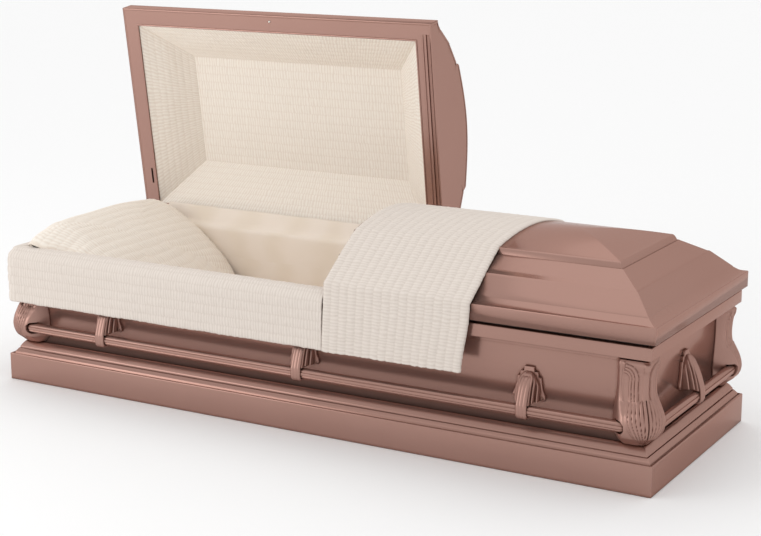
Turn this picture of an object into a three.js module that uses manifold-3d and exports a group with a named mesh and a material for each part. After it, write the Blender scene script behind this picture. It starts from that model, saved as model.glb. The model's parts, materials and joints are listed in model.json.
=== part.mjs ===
// Funeral casket of the half-couch kind: a welded sheet-steel body on a moulded base, two hipped lids
// hinged along the rear, cast corners and arms that carry stationary bars, and a crepe interior.
// Millimetres. +X runs to the foot end, +Y to the rear, +Z up. The origin is the underside's centre.
import * as THREE from "three";
import { mergeVertices } from "three/addons/utils/BufferGeometryUtils.js";
import Module from "manifold-3d";

const wasm = await Module();
wasm.setup();

// Driving dimensions of the base
const BASE_LENGTH = 2130;
const BASE_WIDTH = 724;
const FASCIA_HEIGHT = 84;
const OGEE_HEIGHT = 38;
const OGEE_WIDTH = 42;
const OGEE_QUIRK = 1.5;
const BASE_FLANGE = 28;

// Driving dimensions of the body
const LEDGE_INSET_ENDS = 14;
const LEDGE_INSET_SIDES = 8;
const LEDGE_OVERHANG = 40;
const LEDGE_HEIGHT = 35;
const BODY_TOP = 391.8;
const COVE_RADIUS = 16;
const LEDGE_TOP_FLANGE = 38;
const HEM = 12;

// Driving dimensions of the lids
const LID_GAP = 11;
const RIM_PROUD_ENDS = 12.5;
const RIM_PROUD_SIDES = 10.7;
const RIM_HEIGHT = 44.7;
const RIM_CHAMFER = 2;
const SPLIT_X = 91.2;
const SPLIT_GAP = 1.6;
const COVE_WIDTH = 34;
const COVE_RISE = 15;
const LOWER_SLOPE_WIDTH = 53;
const LOWER_SLOPE_RISE = 51;
const UPPER_SLOPE_WIDTH = 68;
const UPPER_SLOPE_RISE = 37;
const BEAD_WIDTH = 15;
const BEAD_RISE = 17;
const CROWN_RISE = 32;
const LID_FRAME_WIDTH = 56;
const SEAL_CHANNEL_WIDTH = 18;
const OPEN_ANGLE = 81.7;
const HINGE_INSET = 7.7;

// Sheet, clearances and soft goods
const SHEET = 1.2;
const GAP = 0.3;
const PANEL_PLATE = 2;
const PADDING = 12;
const CLOTH = 5;

// Handles
const BAR_RADIUS = 15;
const BAR_STANDOFF = 40;
const BAR_HEIGHT = 175;
const ARM_SPACING = 700;
const CLASP_WIDTH = 32;
const CLASP_WALL = 4;
const SIDE_ARM_TOP = 286;
const END_ARM_TOP = 297;
const SOCKET_DEPTH = 26;

// Bedding and draping
const BED_TOP = 225;
const MATTRESS_THICKNESS = 95;
const APRON_BOTTOM = 255;
const APRON_TOP = 424;
const THROW_BOTTOM = 257;
const THROW_LENGTH = 474;
const COVER_TOP = 452;

// Sizes that follow
const base = { x: BASE_LENGTH / 2, y: BASE_WIDTH / 2 };
const ledge = { x: base.x - LEDGE_INSET_ENDS, y: base.y - LEDGE_INSET_SIDES };
const wall = { x: ledge.x - LEDGE_OVERHANG, y: ledge.y - LEDGE_OVERHANG };
const rim = { x: ledge.x + RIM_PROUD_ENDS, y: ledge.y + RIM_PROUD_SIDES };
const baseTop = FASCIA_HEIGHT + OGEE_HEIGHT;
const ledgeBottom = BODY_TOP - LEDGE_HEIGHT;
const rimBottom = BODY_TOP + LID_GAP;
const hingeY = rim.y - HINGE_INSET;
const hingeZ = BODY_TOP + LID_GAP / 2;
const headSplit = SPLIT_X - SPLIT_GAP / 2;
const footSplit = SPLIT_X + SPLIT_GAP / 2;

// Materials
const paint = (color) => new THREE.MeshStandardMaterial({ color, roughness: 0.32, metalness: 0.35 });
const cloth = (color) => new THREE.MeshStandardMaterial({ color, roughness: 0.9, metalness: 0 });
const steelPaint = paint(0xa5857a);
const castPaint = paint(0xa07f73);
const crepe = cloth(0xe9dccd);
const plainCloth = cloth(0xe3d7ca);
const rubber = new THREE.MeshStandardMaterial({ color: 0x2a2320, roughness: 0.8, metalness: 0 });
const brightSteel = new THREE.MeshStandardMaterial({ color: 0xc9c4bf, roughness: 0.3, metalness: 0.9 });

const casket = new THREE.Group();

function add(group, name, geometry, material) {
  const mesh = new THREE.Mesh(geometry, material);
  mesh.name = name;
  group.add(mesh);
  return mesh;
}

// Geometry from a list of corner points and faces, each face a list of three or four corners
function fromFaces(points, faces) {
  const positions = [];
  for (const face of faces) {
    for (let i = 1; i + 1 < face.length; i += 1) {
      for (const corner of [face[0], face[i], face[i + 1]]) {
        positions.push(...points[corner]);
      }
    }
  }
  const geometry = new THREE.BufferGeometry();
  geometry.setAttribute("position", new THREE.Float32BufferAttribute(positions, 3));
  return geometry;
}

// Solid algebra on closed geometries
function solid(geometry) {
  const bare = geometry.index ? geometry.toNonIndexed() : geometry.clone();
  bare.deleteAttribute("normal");
  bare.deleteAttribute("uv");
  const merged = mergeVertices(bare, 1e-4);
  const made = new wasm.Manifold(
    new wasm.Mesh({
      numProp: 3,
      vertProperties: merged.attributes.position.array,
      triVerts: new Uint32Array(merged.index.array),
    }),
  );
  return made;
}

function toGeometry(manifold) {
  const mesh = manifold.getMesh();
  const geometry = new THREE.BufferGeometry();
  geometry.setAttribute("position", new THREE.BufferAttribute(new Float32Array(mesh.vertProperties), 3));
  geometry.setIndex(new THREE.BufferAttribute(new Uint32Array(mesh.triVerts), 1));
  return geometry;
}

// A box from its lowest and highest corners
function block(low, high) {
  const size = high.map((value, i) => value - low[i]);
  const geometry = new THREE.BoxGeometry(...size);
  geometry.translate(...low.map((value, i) => value + size[i] / 2));
  return geometry;
}

// An outline of [across, up] points extruded along X between two places
function alongX(outline, from, to) {
  const shape = new THREE.Shape(outline.map(([y, z]) => new THREE.Vector2(y, z)));
  const geometry = new THREE.ExtrudeGeometry(shape, { depth: to - from, bevelEnabled: false });
  const basis = new THREE.Matrix4().makeBasis(
    new THREE.Vector3(0, 1, 0),
    new THREE.Vector3(0, 0, 1),
    new THREE.Vector3(1, 0, 0),
  );
  geometry.applyMatrix4(basis);
  geometry.translate(from, 0, 0);
  return geometry;
}

// The closed outline of a bent sheet: the path's left side, then the other face at the given thickness
function bentSheet(path, thickness) {
  const offset = path.map((point, i) => {
    const before = path[Math.max(i - 1, 0)];
    const after = path[Math.min(i + 1, path.length - 1)];
    const unit = (a, b) => {
      const length = Math.hypot(b[0] - a[0], b[1] - a[1]) || 1;
      return [(b[0] - a[0]) / length, (b[1] - a[1]) / length];
    };
    const into = i > 0 ? unit(before, point) : unit(point, after);
    const out = i < path.length - 1 ? unit(point, after) : into;
    const normalIn = [-into[1], into[0]];
    const normalOut = [-out[1], out[0]];
    const share = 1 + normalIn[0] * normalOut[0] + normalIn[1] * normalOut[1];
    return [
      point[0] + ((normalIn[0] + normalOut[0]) / share) * thickness,
      point[1] + ((normalIn[1] + normalOut[1]) / share) * thickness,
    ];
  });
  return { near: path, far: offset };
}

const closeSheet = (sheet) => [...sheet.near, ...sheet.far.slice().reverse()];

// Corner k of the rectangle with half sizes x and y, counted from front left
const CORNER_SIGNS = [
  [-1, -1],
  [1, -1],
  [1, 1],
  [-1, 1],
];

// A frame round the casket: a closed section of { x, y, z } half sizes and heights, mitred at four corners
function mitredRing(section) {
  const points = [];
  for (const [signX, signY] of CORNER_SIGNS) {
    for (const { x, y, z } of section) {
      points.push([signX * x, signY * y, z]);
    }
  }
  const count = section.length;
  const faces = [];
  for (let side = 0; side < 4; side += 1) {
    const next = (side + 1) % 4;
    for (let i = 0; i < count; i += 1) {
      const j = (i + 1) % count;
      faces.push([side * count + i, next * count + i, next * count + j, side * count + j]);
    }
  }
  return orient(points, faces);
}

// Triangles that fill a flat outline of [across, up] points, wound the way the outline runs
function fillOutline(outline) {
  const contour = outline.map(([across, up]) => new THREE.Vector2(across, up));
  const outlineSign = Math.sign(THREE.ShapeUtils.area(contour));
  return THREE.ShapeUtils.triangulateShape(contour, []).map((triangle) => {
    const sign = Math.sign(THREE.ShapeUtils.area(triangle.map((corner) => contour[corner])));
    return sign === outlineSign ? triangle : triangle.slice().reverse();
  });
}

// One side of such a frame, cut at its mitres with half a gap at each
function mitredSide(section, side) {
  const [fromSigns, toSigns] = [CORNER_SIGNS[side], CORNER_SIGNS[(side + 1) % 4]];
  const alongIsX = side % 2 === 0;
  const trim = GAP / 2;
  const points = [];
  for (const signs of [fromSigns, toSigns]) {
    for (const { x, y, z } of section) {
      const px = alongIsX ? signs[0] * (x - trim) : signs[0] * x;
      const py = alongIsX ? signs[1] * y : signs[1] * (y - trim);
      points.push([px, py, z]);
    }
  }
  const count = section.length;
  const faces = [];
  for (let i = 0; i < count; i += 1) {
    const j = (i + 1) % count;
    faces.push([i, count + i, count + j, j]);
  }
  for (const triangle of fillOutline(section.map(({ y, z }) => [y, z]))) {
    faces.push(triangle, triangle.map((corner) => count + corner).reverse());
  }
  return orient(points, faces);
}

// The same faces, turned round if they enclose a negative volume
function orient(points, faces) {
  let volume = 0;
  for (const face of faces) {
    for (let i = 1; i + 1 < face.length; i += 1) {
      const [a, b, c] = [face[0], face[i], face[i + 1]].map((k) => new THREE.Vector3(...points[k]));
      volume += a.dot(b.cross(c));
    }
  }
  return fromFaces(points, volume < 0 ? faces.map((face) => face.slice().reverse()) : faces);
}

// A section given as [inset, height] pairs, measured inward from a rectangle
const insetSection = (rectangle, outline) =>
  outline.map(([inset, z]) => ({ x: rectangle.x - inset, y: rectangle.y - inset, z }));

// Base moulding: fascia, ogee up to the wall, and a turned-in flange under it
function baseMoulding() {
  const outer = [[BASE_FLANGE, 0], [0, 0], [0, FASCIA_HEIGHT]];
  const steps = 8;
  for (let i = 1; i <= steps; i += 1) {
    const t = i / steps;
    outer.push([
      OGEE_QUIRK + (OGEE_WIDTH - OGEE_QUIRK) * t,
      FASCIA_HEIGHT + (OGEE_HEIGHT * (1 - Math.cos(Math.PI * t))) / 2,
    ]);
  }
  const sheet = bentSheet(outer, -SHEET);
  const section = insetSection(base, closeSheet(sheet));
  const innerEdge = outer.length - 1;
  const top = section[innerEdge];
  const under = section[innerEdge + 1];
  top.x = wall.x + GAP;
  top.y = wall.y + GAP;
  under.x = wall.x + GAP;
  under.y = wall.y + GAP;
  under.z = baseTop - SHEET;
  return mitredRing(section);
}

// Body panel section: wall, cove, ledge box and its turned-down hem, as one bent sheet
function bodySection() {
  const path = [[LEDGE_OVERHANG, SHEET + GAP]];
  const steps = 4;
  for (let i = 0; i <= steps; i += 1) {
    const turn = (Math.PI / 2) * (i / steps);
    path.push([
      LEDGE_OVERHANG - COVE_RADIUS * (1 - Math.cos(turn)),
      ledgeBottom - COVE_RADIUS + COVE_RADIUS * Math.sin(turn),
    ]);
  }
  path.push([0, ledgeBottom], [0, BODY_TOP]);
  path.push([LEDGE_TOP_FLANGE, BODY_TOP], [LEDGE_TOP_FLANGE, BODY_TOP - HEM]);
  return insetSection(ledge, closeSheet(bentSheet(path, -SHEET)));
}

add(casket, "base_moulding", baseMoulding(), steelPaint);
add(
  casket,
  "bottom_pan",
  block(
    [-(base.x - BASE_FLANGE - GAP), -(base.y - BASE_FLANGE - GAP), 0],
    [base.x - BASE_FLANGE - GAP, base.y - BASE_FLANGE - GAP, SHEET],
  ),
  steelPaint,
);
const SIDE_NAMES = ["front", "foot_end", "rear", "head_end"];
SIDE_NAMES.forEach((name, side) => {
  add(casket, `body_panel_${name}`, mitredSide(bodySection(), side), steelPaint);
});

// Gasket on the ledge, under both lids
const GASKET_INSET = 16;
const GASKET_WIDTH = 10;
add(
  casket,
  "lid_gasket",
  mitredRing(
    insetSection(ledge, [
      [GASKET_INSET, BODY_TOP + GAP],
      [GASKET_INSET + GASKET_WIDTH, BODY_TOP + GAP],
      [GASKET_INSET + GASKET_WIDTH, rimBottom - GAP],
      [GASKET_INSET, rimBottom - GAP],
    ]),
  ),
  rubber,
);

// The hipped lid's surface: height over the rim's underside at a distance in from the rim
function lidOutline() {
  const rise = [[0, 0], [0, RIM_HEIGHT - RIM_CHAMFER], [RIM_CHAMFER, RIM_HEIGHT]];
  const curve = (steps, width, height, share) => {
    const [fromInset, fromHeight] = rise[rise.length - 1];
    for (let i = 1; i <= steps; i += 1) {
      const t = i / steps;
      rise.push([fromInset + width * t, fromHeight + height * share(t)]);
    }
  };
  curve(3, COVE_WIDTH - RIM_CHAMFER, COVE_RISE, (t) => 1 - Math.cos((Math.PI / 2) * t));
  curve(2, LOWER_SLOPE_WIDTH, LOWER_SLOPE_RISE, (t) => t);
  curve(2, UPPER_SLOPE_WIDTH, UPPER_SLOPE_RISE, (t) => t);
  curve(3, BEAD_WIDTH, BEAD_RISE, (t) => Math.sin((Math.PI / 2) * t));
  const crown = rim.y - rise[rise.length - 1][0];
  curve(5, crown, CROWN_RISE, (t) => Math.sin((Math.PI / 2) * t));
  return rise;
}

// The lid's pressed shell: hipped at its outer end, open at the split. end is -1 at the head, 1 at the foot
function lidShell(end, splitX) {
  const outer = lidOutline();
  const sheet = bentSheet(outer, -SHEET);
  sheet.far[0] = [SHEET, 0];
  sheet.far[outer.length - 1] = [rim.y, outer[outer.length - 1][1] - SHEET];
  const points = [];
  const ring = ([inset, height]) => {
    const start = points.length;
    const z = rimBottom + height;
    const x = end * (rim.x - inset);
    points.push([splitX, -(rim.y - inset), z], [x, -(rim.y - inset), z]);
    points.push([x, rim.y - inset, z], [splitX, rim.y - inset, z]);
    return start;
  };
  const outside = sheet.near.map(ring);
  const inside = sheet.far.map(ring);
  const faces = [];
  const last = outside.length - 1;
  for (let i = 0; i < last; i += 1) {
    for (let k = 0; k < 3; k += 1) {
      faces.push([outside[i] + k, outside[i] + k + 1, outside[i + 1] + k + 1, outside[i + 1] + k]);
      faces.push([inside[i] + k, inside[i + 1] + k, inside[i + 1] + k + 1, inside[i] + k + 1]);
    }
    faces.push([outside[i], outside[i + 1], inside[i + 1], inside[i]]);
    faces.push([outside[i] + 3, inside[i] + 3, inside[i + 1] + 3, outside[i + 1] + 3]);
  }
  for (let k = 0; k < 3; k += 1) {
    faces.push([outside[0] + k, inside[0] + k, inside[0] + k + 1, outside[0] + k + 1]);
  }
  return orient(points, dropThin(points, faces));
}

// Faces without the corners that coincide, and without faces that have no area left
function dropThin(points, faces) {
  const same = (a, b) => points[a].every((value, i) => Math.abs(value - points[b][i]) < 1e-6);
  return faces
    .map((face) => face.filter((corner, i) => !same(corner, face[(i + 1) % face.length])))
    .filter((face) => face.length > 2);
}

// A plate across the lid at the split, with the outline of the shell's inside
function lidEndPanel(fromX, toX) {
  const half = bentSheet(lidOutline(), -(SHEET + GAP)).far;
  half[0] = [SHEET + GAP, GAP];
  half[half.length - 1] = [rim.y, half[half.length - 1][1]];
  const front = half.map(([inset, height]) => [-(rim.y - inset), rimBottom + height]);
  const rear = half.slice(0, -1).reverse().map(([inset, height]) => [rim.y - inset, rimBottom + height]);
  return alongX([...front, ...rear], fromX, toX);
}

// A plate with holes cut through it, from boxes given as [low, high] corners
function plateWithHoles(plate, holes) {
  let made = solid(block(...plate));
  for (const [low, high] of holes) {
    const through = block([low[0], low[1], plate[0][2] - 1], [high[0], high[1], plate[1][2] + 1]);
    made = made.subtract(solid(through));
  }
  return toGeometry(made);
}

const lid = (name) => {
  const group = new THREE.Group();
  group.name = name;
  group.position.set(0, hingeY, hingeZ);
  casket.add(group);
  const closed = new THREE.Group();
  closed.position.set(0, -hingeY, -hingeZ);
  group.add(closed);
  return { group, closed };
};
const headLid = lid("head_lid");
const footLid = lid("foot_lid");
headLid.group.rotation.x = -THREE.MathUtils.degToRad(OPEN_ANGLE);

const headPanelX = headSplit - PANEL_PLATE;
const footPanelX = footSplit + PANEL_PLATE;
add(headLid.closed, "head_lid_shell", lidShell(-1, headSplit), steelPaint);
add(footLid.closed, "foot_lid_shell", lidShell(1, footSplit), steelPaint);
add(headLid.closed, "head_lid_end_panel", lidEndPanel(headPanelX - GAP, headSplit - GAP), steelPaint);
add(footLid.closed, "foot_lid_end_panel", lidEndPanel(footSplit + GAP, footPanelX + GAP), steelPaint);

// Frames that close the lids' undersides, round the lined opening
const frameEdge = { x: rim.x - SHEET - GAP, y: rim.y - SHEET - GAP };
const opening = { x: frameEdge.x - LID_FRAME_WIDTH, y: frameEdge.y - LID_FRAME_WIDTH };
const frameBottom = rimBottom + GAP;
const frameTop = frameBottom + SHEET;
const headOpeningEnd = headSplit - LID_FRAME_WIDTH;
const footOpeningStart = footSplit + LID_FRAME_WIDTH;
const channelX = headPanelX - 2 * GAP - SEAL_CHANNEL_WIDTH;
const CHANNEL_MARGIN = 36;
const channelHalf = rim.y - CHANNEL_MARGIN;
const STAY_SLOT = { fromEnd: 40, y: 212, width: 7, length: 52 };
const staySlotX = -(rim.x - STAY_SLOT.fromEnd);
add(
  headLid.closed,
  "head_lid_frame",
  plateWithHoles(
    [
      [-frameEdge.x, -frameEdge.y, frameBottom],
      [headPanelX - 2 * GAP, frameEdge.y, frameTop],
    ],
    [
      [
        [-opening.x, -opening.y],
        [headOpeningEnd, opening.y],
      ],
      [
        [channelX, -channelHalf],
        [headSplit, channelHalf],
      ],
      [
        [staySlotX - STAY_SLOT.width / 2, STAY_SLOT.y - STAY_SLOT.length / 2],
        [staySlotX + STAY_SLOT.width / 2, STAY_SLOT.y + STAY_SLOT.length / 2],
      ],
    ],
  ),
  steelPaint,
);
add(
  footLid.closed,
  "foot_lid_frame",
  plateWithHoles(
    [
      [footPanelX + 2 * GAP, -frameEdge.y, frameBottom],
      [frameEdge.x, frameEdge.y, frameTop],
    ],
    [
      [
        [footOpeningStart, -opening.y],
        [opening.x, opening.y],
      ],
    ],
  ),
  steelPaint,
);

// Channel for the seal along the head lid's split, open downward
const CHANNEL_DEPTH = 8;
function sealChannel() {
  const x = [channelX + GAP, headPanelX - 3 * GAP];
  const y = channelHalf - GAP;
  const z = frameBottom + CHANNEL_DEPTH;
  const web = solid(block([x[0], -y, z - SHEET], [x[1], y, z]));
  const inner = solid(block([x[0], -y, frameBottom], [x[0] + SHEET, y, z]));
  const outer = solid(block([x[1] - SHEET, -y, frameBottom], [x[1], y, z]));
  return toGeometry(web.add(inner).add(outer));
}
add(headLid.closed, "head_lid_seal_channel", sealChannel(), steelPaint);

// Latch keeper: a small bright button under the middle of the head lid's front rail
const KEEPER = { radius: 4.5, height: 3, inset: 21.5 };
const keeper = new THREE.CylinderGeometry(KEEPER.radius, KEEPER.radius, KEEPER.height, 12);
keeper.rotateX(Math.PI / 2);
keeper.translate(
  (headSplit - rim.x) / 2,
  -(rim.y - KEEPER.inset),
  frameBottom - GAP - KEEPER.height / 2,
);
add(headLid.closed, "head_lid_keeper", keeper, brightSteel);

// Head lid lining: four slanted gores and a deep cap panel, all padded
const CAP_INSET = 126;
const CAP_HEIGHT = 120;
const headOpening = { x: (headOpeningEnd + opening.x) / 2, y: opening.y };
const headOpeningX = (headOpeningEnd - opening.x) / 2;
const liningFoot = frameTop + GAP;
const goreOutline = closeSheet(
  bentSheet(
    [
      [0, liningFoot],
      [CAP_INSET, rimBottom + CAP_HEIGHT],
    ],
    PADDING,
  ),
);
["front", "split", "rear", "head"].forEach((place, side) => {
  const gore = add(
    headLid.closed,
    `head_lid_gore_${place}`,
    mitredSide(insetSection(headOpening, goreOutline), side),
    crepe,
  );
  gore.position.x = headOpeningX;
});
const capHalf = { x: headOpening.x - CAP_INSET - GAP, y: headOpening.y - CAP_INSET - GAP };
add(
  headLid.closed,
  "head_lid_cap_panel",
  block(
    [headOpeningX - capHalf.x, -capHalf.y, rimBottom + CAP_HEIGHT],
    [headOpeningX + capHalf.x, capHalf.y, rimBottom + CAP_HEIGHT + PADDING],
  ),
  crepe,
);

// Foot lid lining board, lying on the frame
const BOARD_LAP = 24;
const BOARD_THICKNESS = 8;
add(
  footLid.closed,
  "foot_lid_lining",
  block(
    [footOpeningStart - BOARD_LAP, -(opening.y + BOARD_LAP), frameTop + GAP],
    [opening.x + BOARD_LAP, opening.y + BOARD_LAP, frameTop + GAP + BOARD_THICKNESS],
  ),
  plainCloth,
);

// Throw: a quilted cloth over the foot lid from the split, with a flap down the front
const THROW_LIFT = 1;
const THROW_FLARE = 9;
const THROW_REAR_INSET = COVE_WIDTH;
function throwCloth() {
  const reach = rim.y + THROW_LIFT;
  const over = lidOutline()
    .slice(1)
    .map(([inset, height]) => [inset, rimBottom + height]);
  const front = over.map(([inset, z]) => [-(rim.y - inset), z]);
  const rear = over.filter(([inset]) => inset >= THROW_REAR_INSET && inset < rim.y).reverse();
  const skin = bentSheet([...front, ...rear.map(([inset, z]) => [rim.y - inset, z])], THROW_LIFT).far;
  const path = [
    [-(reach + THROW_FLARE), THROW_BOTTOM],
    [-(reach + 1), rimBottom - LID_GAP],
    ...skin,
  ];
  const start = footSplit + GAP;
  return alongX(closeSheet(bentSheet(path, CLOTH)), start, start + THROW_LENGTH);
}
add(footLid.closed, "throw", throwCloth(), crepe);

// Corner castings: plan outlines at a few heights, from the lower bulb up to the slender post
// Each station gives its height and sizes as shares of the casting's own
const CASTING = { bottomClear: 2, topClear: 7.8, out: 59, round: 76, foot: 75 };
const CASTING_SHARES = [
  { up: 0, out: 0.34, round: 0.39, face: 0.4, foot: 0.69 },
  { up: 0.045, out: 0.53, round: 0.59, face: 0.39, foot: 0.83 },
  { up: 0.107, out: 0.81, round: 0.82, face: 0.35, foot: 0.95 },
  { up: 0.231, out: 1, round: 1, face: 0.31, foot: 1 },
  { up: 0.356, out: 0.9, round: 0.87, face: 0.36, foot: 0.99 },
  { up: 0.453, out: 0.66, round: 0.53, face: 0.51, foot: 0.95 },
  { up: 0.542, out: 0.46, round: 0.26, face: 0.61, foot: 0.91 },
  { up: 0.684, out: 0.39, round: 0.2, face: 0.64, foot: 0.87 },
  { up: 0.862, out: 0.44, round: 0.2, face: 0.64, foot: 0.87 },
  { up: 0.96, out: 0.53, round: 0.21, face: 0.63, foot: 0.87 },
  { up: 1, out: 0.46, round: 0.21, face: 0.61, foot: 0.85 },
];
const castingBottom = baseTop + CASTING.bottomClear;
const castingTop = ledgeBottom - CASTING.topClear;
const CASTING_STATIONS = CASTING_SHARES.map((share) => ({
  z: castingBottom + (castingTop - castingBottom) * share.up,
  out: CASTING.out * share.out,
  round: CASTING.round * share.round,
  face: CASTING.foot * share.face,
  foot: CASTING.foot * share.foot,
}));
const CASTING_EDGE = 3;
const CASTING_COLUMNS = 24;
const FLUTES = 6;
const FLUTE_DEPTH = 2.4;
const FLUTE_FADE = 1.6;
const backTop = ledgeBottom - COVE_RADIUS - GAP;

// Plan outline of a casting at one station, as [along, away] offsets from the wall's corner
function castingOutline({ out, round, face, foot }) {
  const leg = [[-foot, CASTING_EDGE]];
  const flank = 4;
  for (let i = 1; i <= flank; i += 1) {
    const t = i / flank;
    const away = CASTING_EDGE + (out - CASTING_EDGE) * Math.sin((Math.PI / 2) * t);
    leg.push([-(foot + (face - foot) * t), away]);
  }
  const bend = [];
  const steps = 8;
  for (let i = 0; i <= steps; i += 1) {
    const turn = (Math.PI / 2) * (i / steps);
    bend.push([out - round + round * Math.sin(turn), out - round + round * Math.cos(turn)]);
  }
  const mirrored = leg.map(([along, away]) => [away, along]).reverse();
  return [...leg, ...bend, ...mirrored];
}

// Points spaced evenly along an open outline
function evenly(outline, count) {
  const lengths = [0];
  for (let i = 1; i < outline.length; i += 1) {
    const step = Math.hypot(outline[i][0] - outline[i - 1][0], outline[i][1] - outline[i - 1][1]);
    lengths.push(lengths[i - 1] + step);
  }
  const total = lengths[lengths.length - 1];
  const points = [];
  for (let k = 0; k <= count; k += 1) {
    const target = (total * k) / count;
    let i = 1;
    while (i < outline.length - 1 && lengths[i] < target) {
      i += 1;
    }
    const t = (target - lengths[i - 1]) / (lengths[i] - lengths[i - 1] || 1);
    points.push([0, 1].map((axis) => outline[i - 1][axis] + (outline[i][axis] - outline[i - 1][axis]) * t));
  }
  return points;
}

function castingSolid(signX, signY) {
  const points = [];
  const place = ([along, away], z) =>
    points.push([signX * (wall.x + along), signY * (wall.y + away), z]) - 1;
  const rows = CASTING_STATIONS.map((station) => {
    const outline = evenly(castingOutline(station), CASTING_COLUMNS);
    const outside = outline.map((point, i) => {
      const share = i / CASTING_COLUMNS;
      const fade = Math.min(1, Math.sin(Math.PI * share) * FLUTE_FADE);
      const carve = FLUTE_DEPTH * fade * (0.5 - 0.5 * Math.cos(2 * Math.PI * FLUTES * share));
      const scale = 1 - carve / Math.hypot(point[0] + station.foot, point[1] + station.foot);
      return place([
        (point[0] + station.foot) * scale - station.foot,
        (point[1] + station.foot) * scale - station.foot,
      ], station.z);
    });
    const z = Math.min(station.z, backTop);
    const back = [
      place([-station.foot, GAP], z),
      place([GAP, GAP], z),
      place([GAP, -station.foot], z),
    ];
    return { outside, back };
  });
  const faces = [];
  const band = (low, high) => {
    for (let i = 0; i + 1 < low.length; i += 1) {
      faces.push([low[i], low[i + 1], high[i + 1], high[i]]);
    }
  };
  for (let k = 0; k + 1 < rows.length; k += 1) {
    const [low, high] = [rows[k], rows[k + 1]];
    band([low.back[0], ...low.outside, low.back[2]], [high.back[0], ...high.outside, high.back[2]]);
    band([low.back[2], low.back[1], low.back[0]], [high.back[2], high.back[1], high.back[0]]);
  }
  for (const row of [rows[0], rows[rows.length - 1]]) {
    const loop = [...row.outside, row.back[2], row.back[1], row.back[0]];
    const fill = fillOutline(loop.map((corner) => [points[corner][0], points[corner][1]]));
    for (const triangle of fill) {
      const corners = triangle.map((corner) => loop[corner]);
      faces.push(row === rows[0] ? corners.reverse() : corners);
    }
  }
  return orient(points, faces);
}

// Bar section: a round bar with two grooves on its outer face, as [outward, up] offsets
const GROOVES = [20, -25];
const GROOVE_DEPTH = 1.8;
const GROOVE_HALF_WIDTH = 5;
function barOutline(radius, depth) {
  const angles = new Set();
  for (let angle = -180; angle < 180; angle += 15) {
    if (GROOVES.every((groove) => Math.abs(angle - groove) > 2 * GROOVE_HALF_WIDTH)) {
      angles.add(angle);
    }
  }
  for (const groove of GROOVES) {
    angles.add(groove - GROOVE_HALF_WIDTH);
    angles.add(groove);
    angles.add(groove + GROOVE_HALF_WIDTH);
  }
  return [...angles]
    .sort((a, b) => a - b)
    .map((angle) => {
      const reach = GROOVES.includes(angle) ? radius - depth : radius;
      const turn = THREE.MathUtils.degToRad(angle);
      return [reach * Math.cos(turn), reach * Math.sin(turn)];
    });
}

// A length of bar section centred on X, outward to -Y, at the bar's height
function barAlong(half, radius, depth) {
  const outline = barOutline(radius, depth).map(([outward, up]) => [-outward, BAR_HEIGHT + up]);
  return alongX(outline.reverse(), -half, half);
}

// Moves a geometry built against a wall at y = 0 to one of the four sides
const SIDES = {
  front: { turn: 0, x: 0, y: -wall.y, half: wall.x },
  foot_end: { turn: Math.PI / 2, x: wall.x, y: 0, half: wall.y },
  rear: { turn: Math.PI, x: 0, y: wall.y, half: wall.x },
  head_end: { turn: -Math.PI / 2, x: -wall.x, y: 0, half: wall.y },
};
function onSide(geometry, side) {
  const placed = geometry.clone();
  placed.rotateZ(side.turn);
  placed.translate(side.x, side.y, 0);
  return placed;
}

// The bars' ends sit in sockets cut into the castings' flanks
const bulb = CASTING_STATIONS.reduce((widest, station) => (station.out > widest.out ? station : widest));
const flankShare = (2 / Math.PI) * Math.asin(BAR_STANDOFF / bulb.out);
const flankAtBar = bulb.foot - (bulb.foot - bulb.face) * flankShare;
const barEnd = flankAtBar - SOCKET_DEPTH;
let sockets = null;
for (const [name, side] of Object.entries(SIDES)) {
  const half = side.half - barEnd;
  const bar = barAlong(half, BAR_RADIUS, GROOVE_DEPTH);
  bar.translate(0, -BAR_STANDOFF, 0);
  add(casket, `handle_bar_${name}`, onSide(bar, side), steelPaint);
  const cutter = barAlong(half + GAP, BAR_RADIUS + GAP, 0);
  cutter.translate(0, -BAR_STANDOFF, 0);
  const socket = solid(onSide(cutter, side));
  sockets = sockets ? sockets.add(socket) : socket;
}
const CORNERS = { front_head: [-1, -1], front_foot: [1, -1], rear_foot: [1, 1], rear_head: [-1, 1] };
for (const [name, signs] of Object.entries(CORNERS)) {
  const casting = solid(castingSolid(...signs)).subtract(sockets);
  add(casket, `corner_casting_${name}`, toGeometry(casting), castPaint);
}

// Arms: a stepped back plate, two pairs of curved ribs, and a strap that clasps the bar
const ARM_FOOT = 197;
const ARM_BACK = 5;
const ARM_RIBS = [
  { half: 33, drop: 28, reach: 24 },
  { half: 24, drop: 14, reach: 36 },
];
const STRAP_REACH = BAR_STANDOFF + BAR_RADIUS + CLASP_WALL;
const STRAP_BELLY = 2.6;
const HOOK_THICKNESS = 5.5;
const SCROLL = { radius: 6, across: 41, up: 203, depth: 9 };
const HOOK = { inset: 6, lip: 9, chamfer: 4, toe: 12 };
// Half of the stepped back plate: [across, up from its foot], then [across, down from its top]
const PLATE_FLARE = [
  [46, 0],
  [46, 11],
  [39, 25],
  [35, 43],
];
const PLATE_STEPS = [
  [34, 27],
  [26, 26],
  [25, 13],
  [15, 12],
  [14, 0],
];

function ribProfile(top, bottom, reach) {
  const profile = [];
  const steps = 5;
  for (let i = 0; i <= steps; i += 1) {
    const t = Math.sqrt(i / steps);
    profile.push([-(GAP + (reach - GAP) * t), top - (top - bottom) * Math.pow(t, STRAP_BELLY)]);
  }
  return profile;
}

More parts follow.
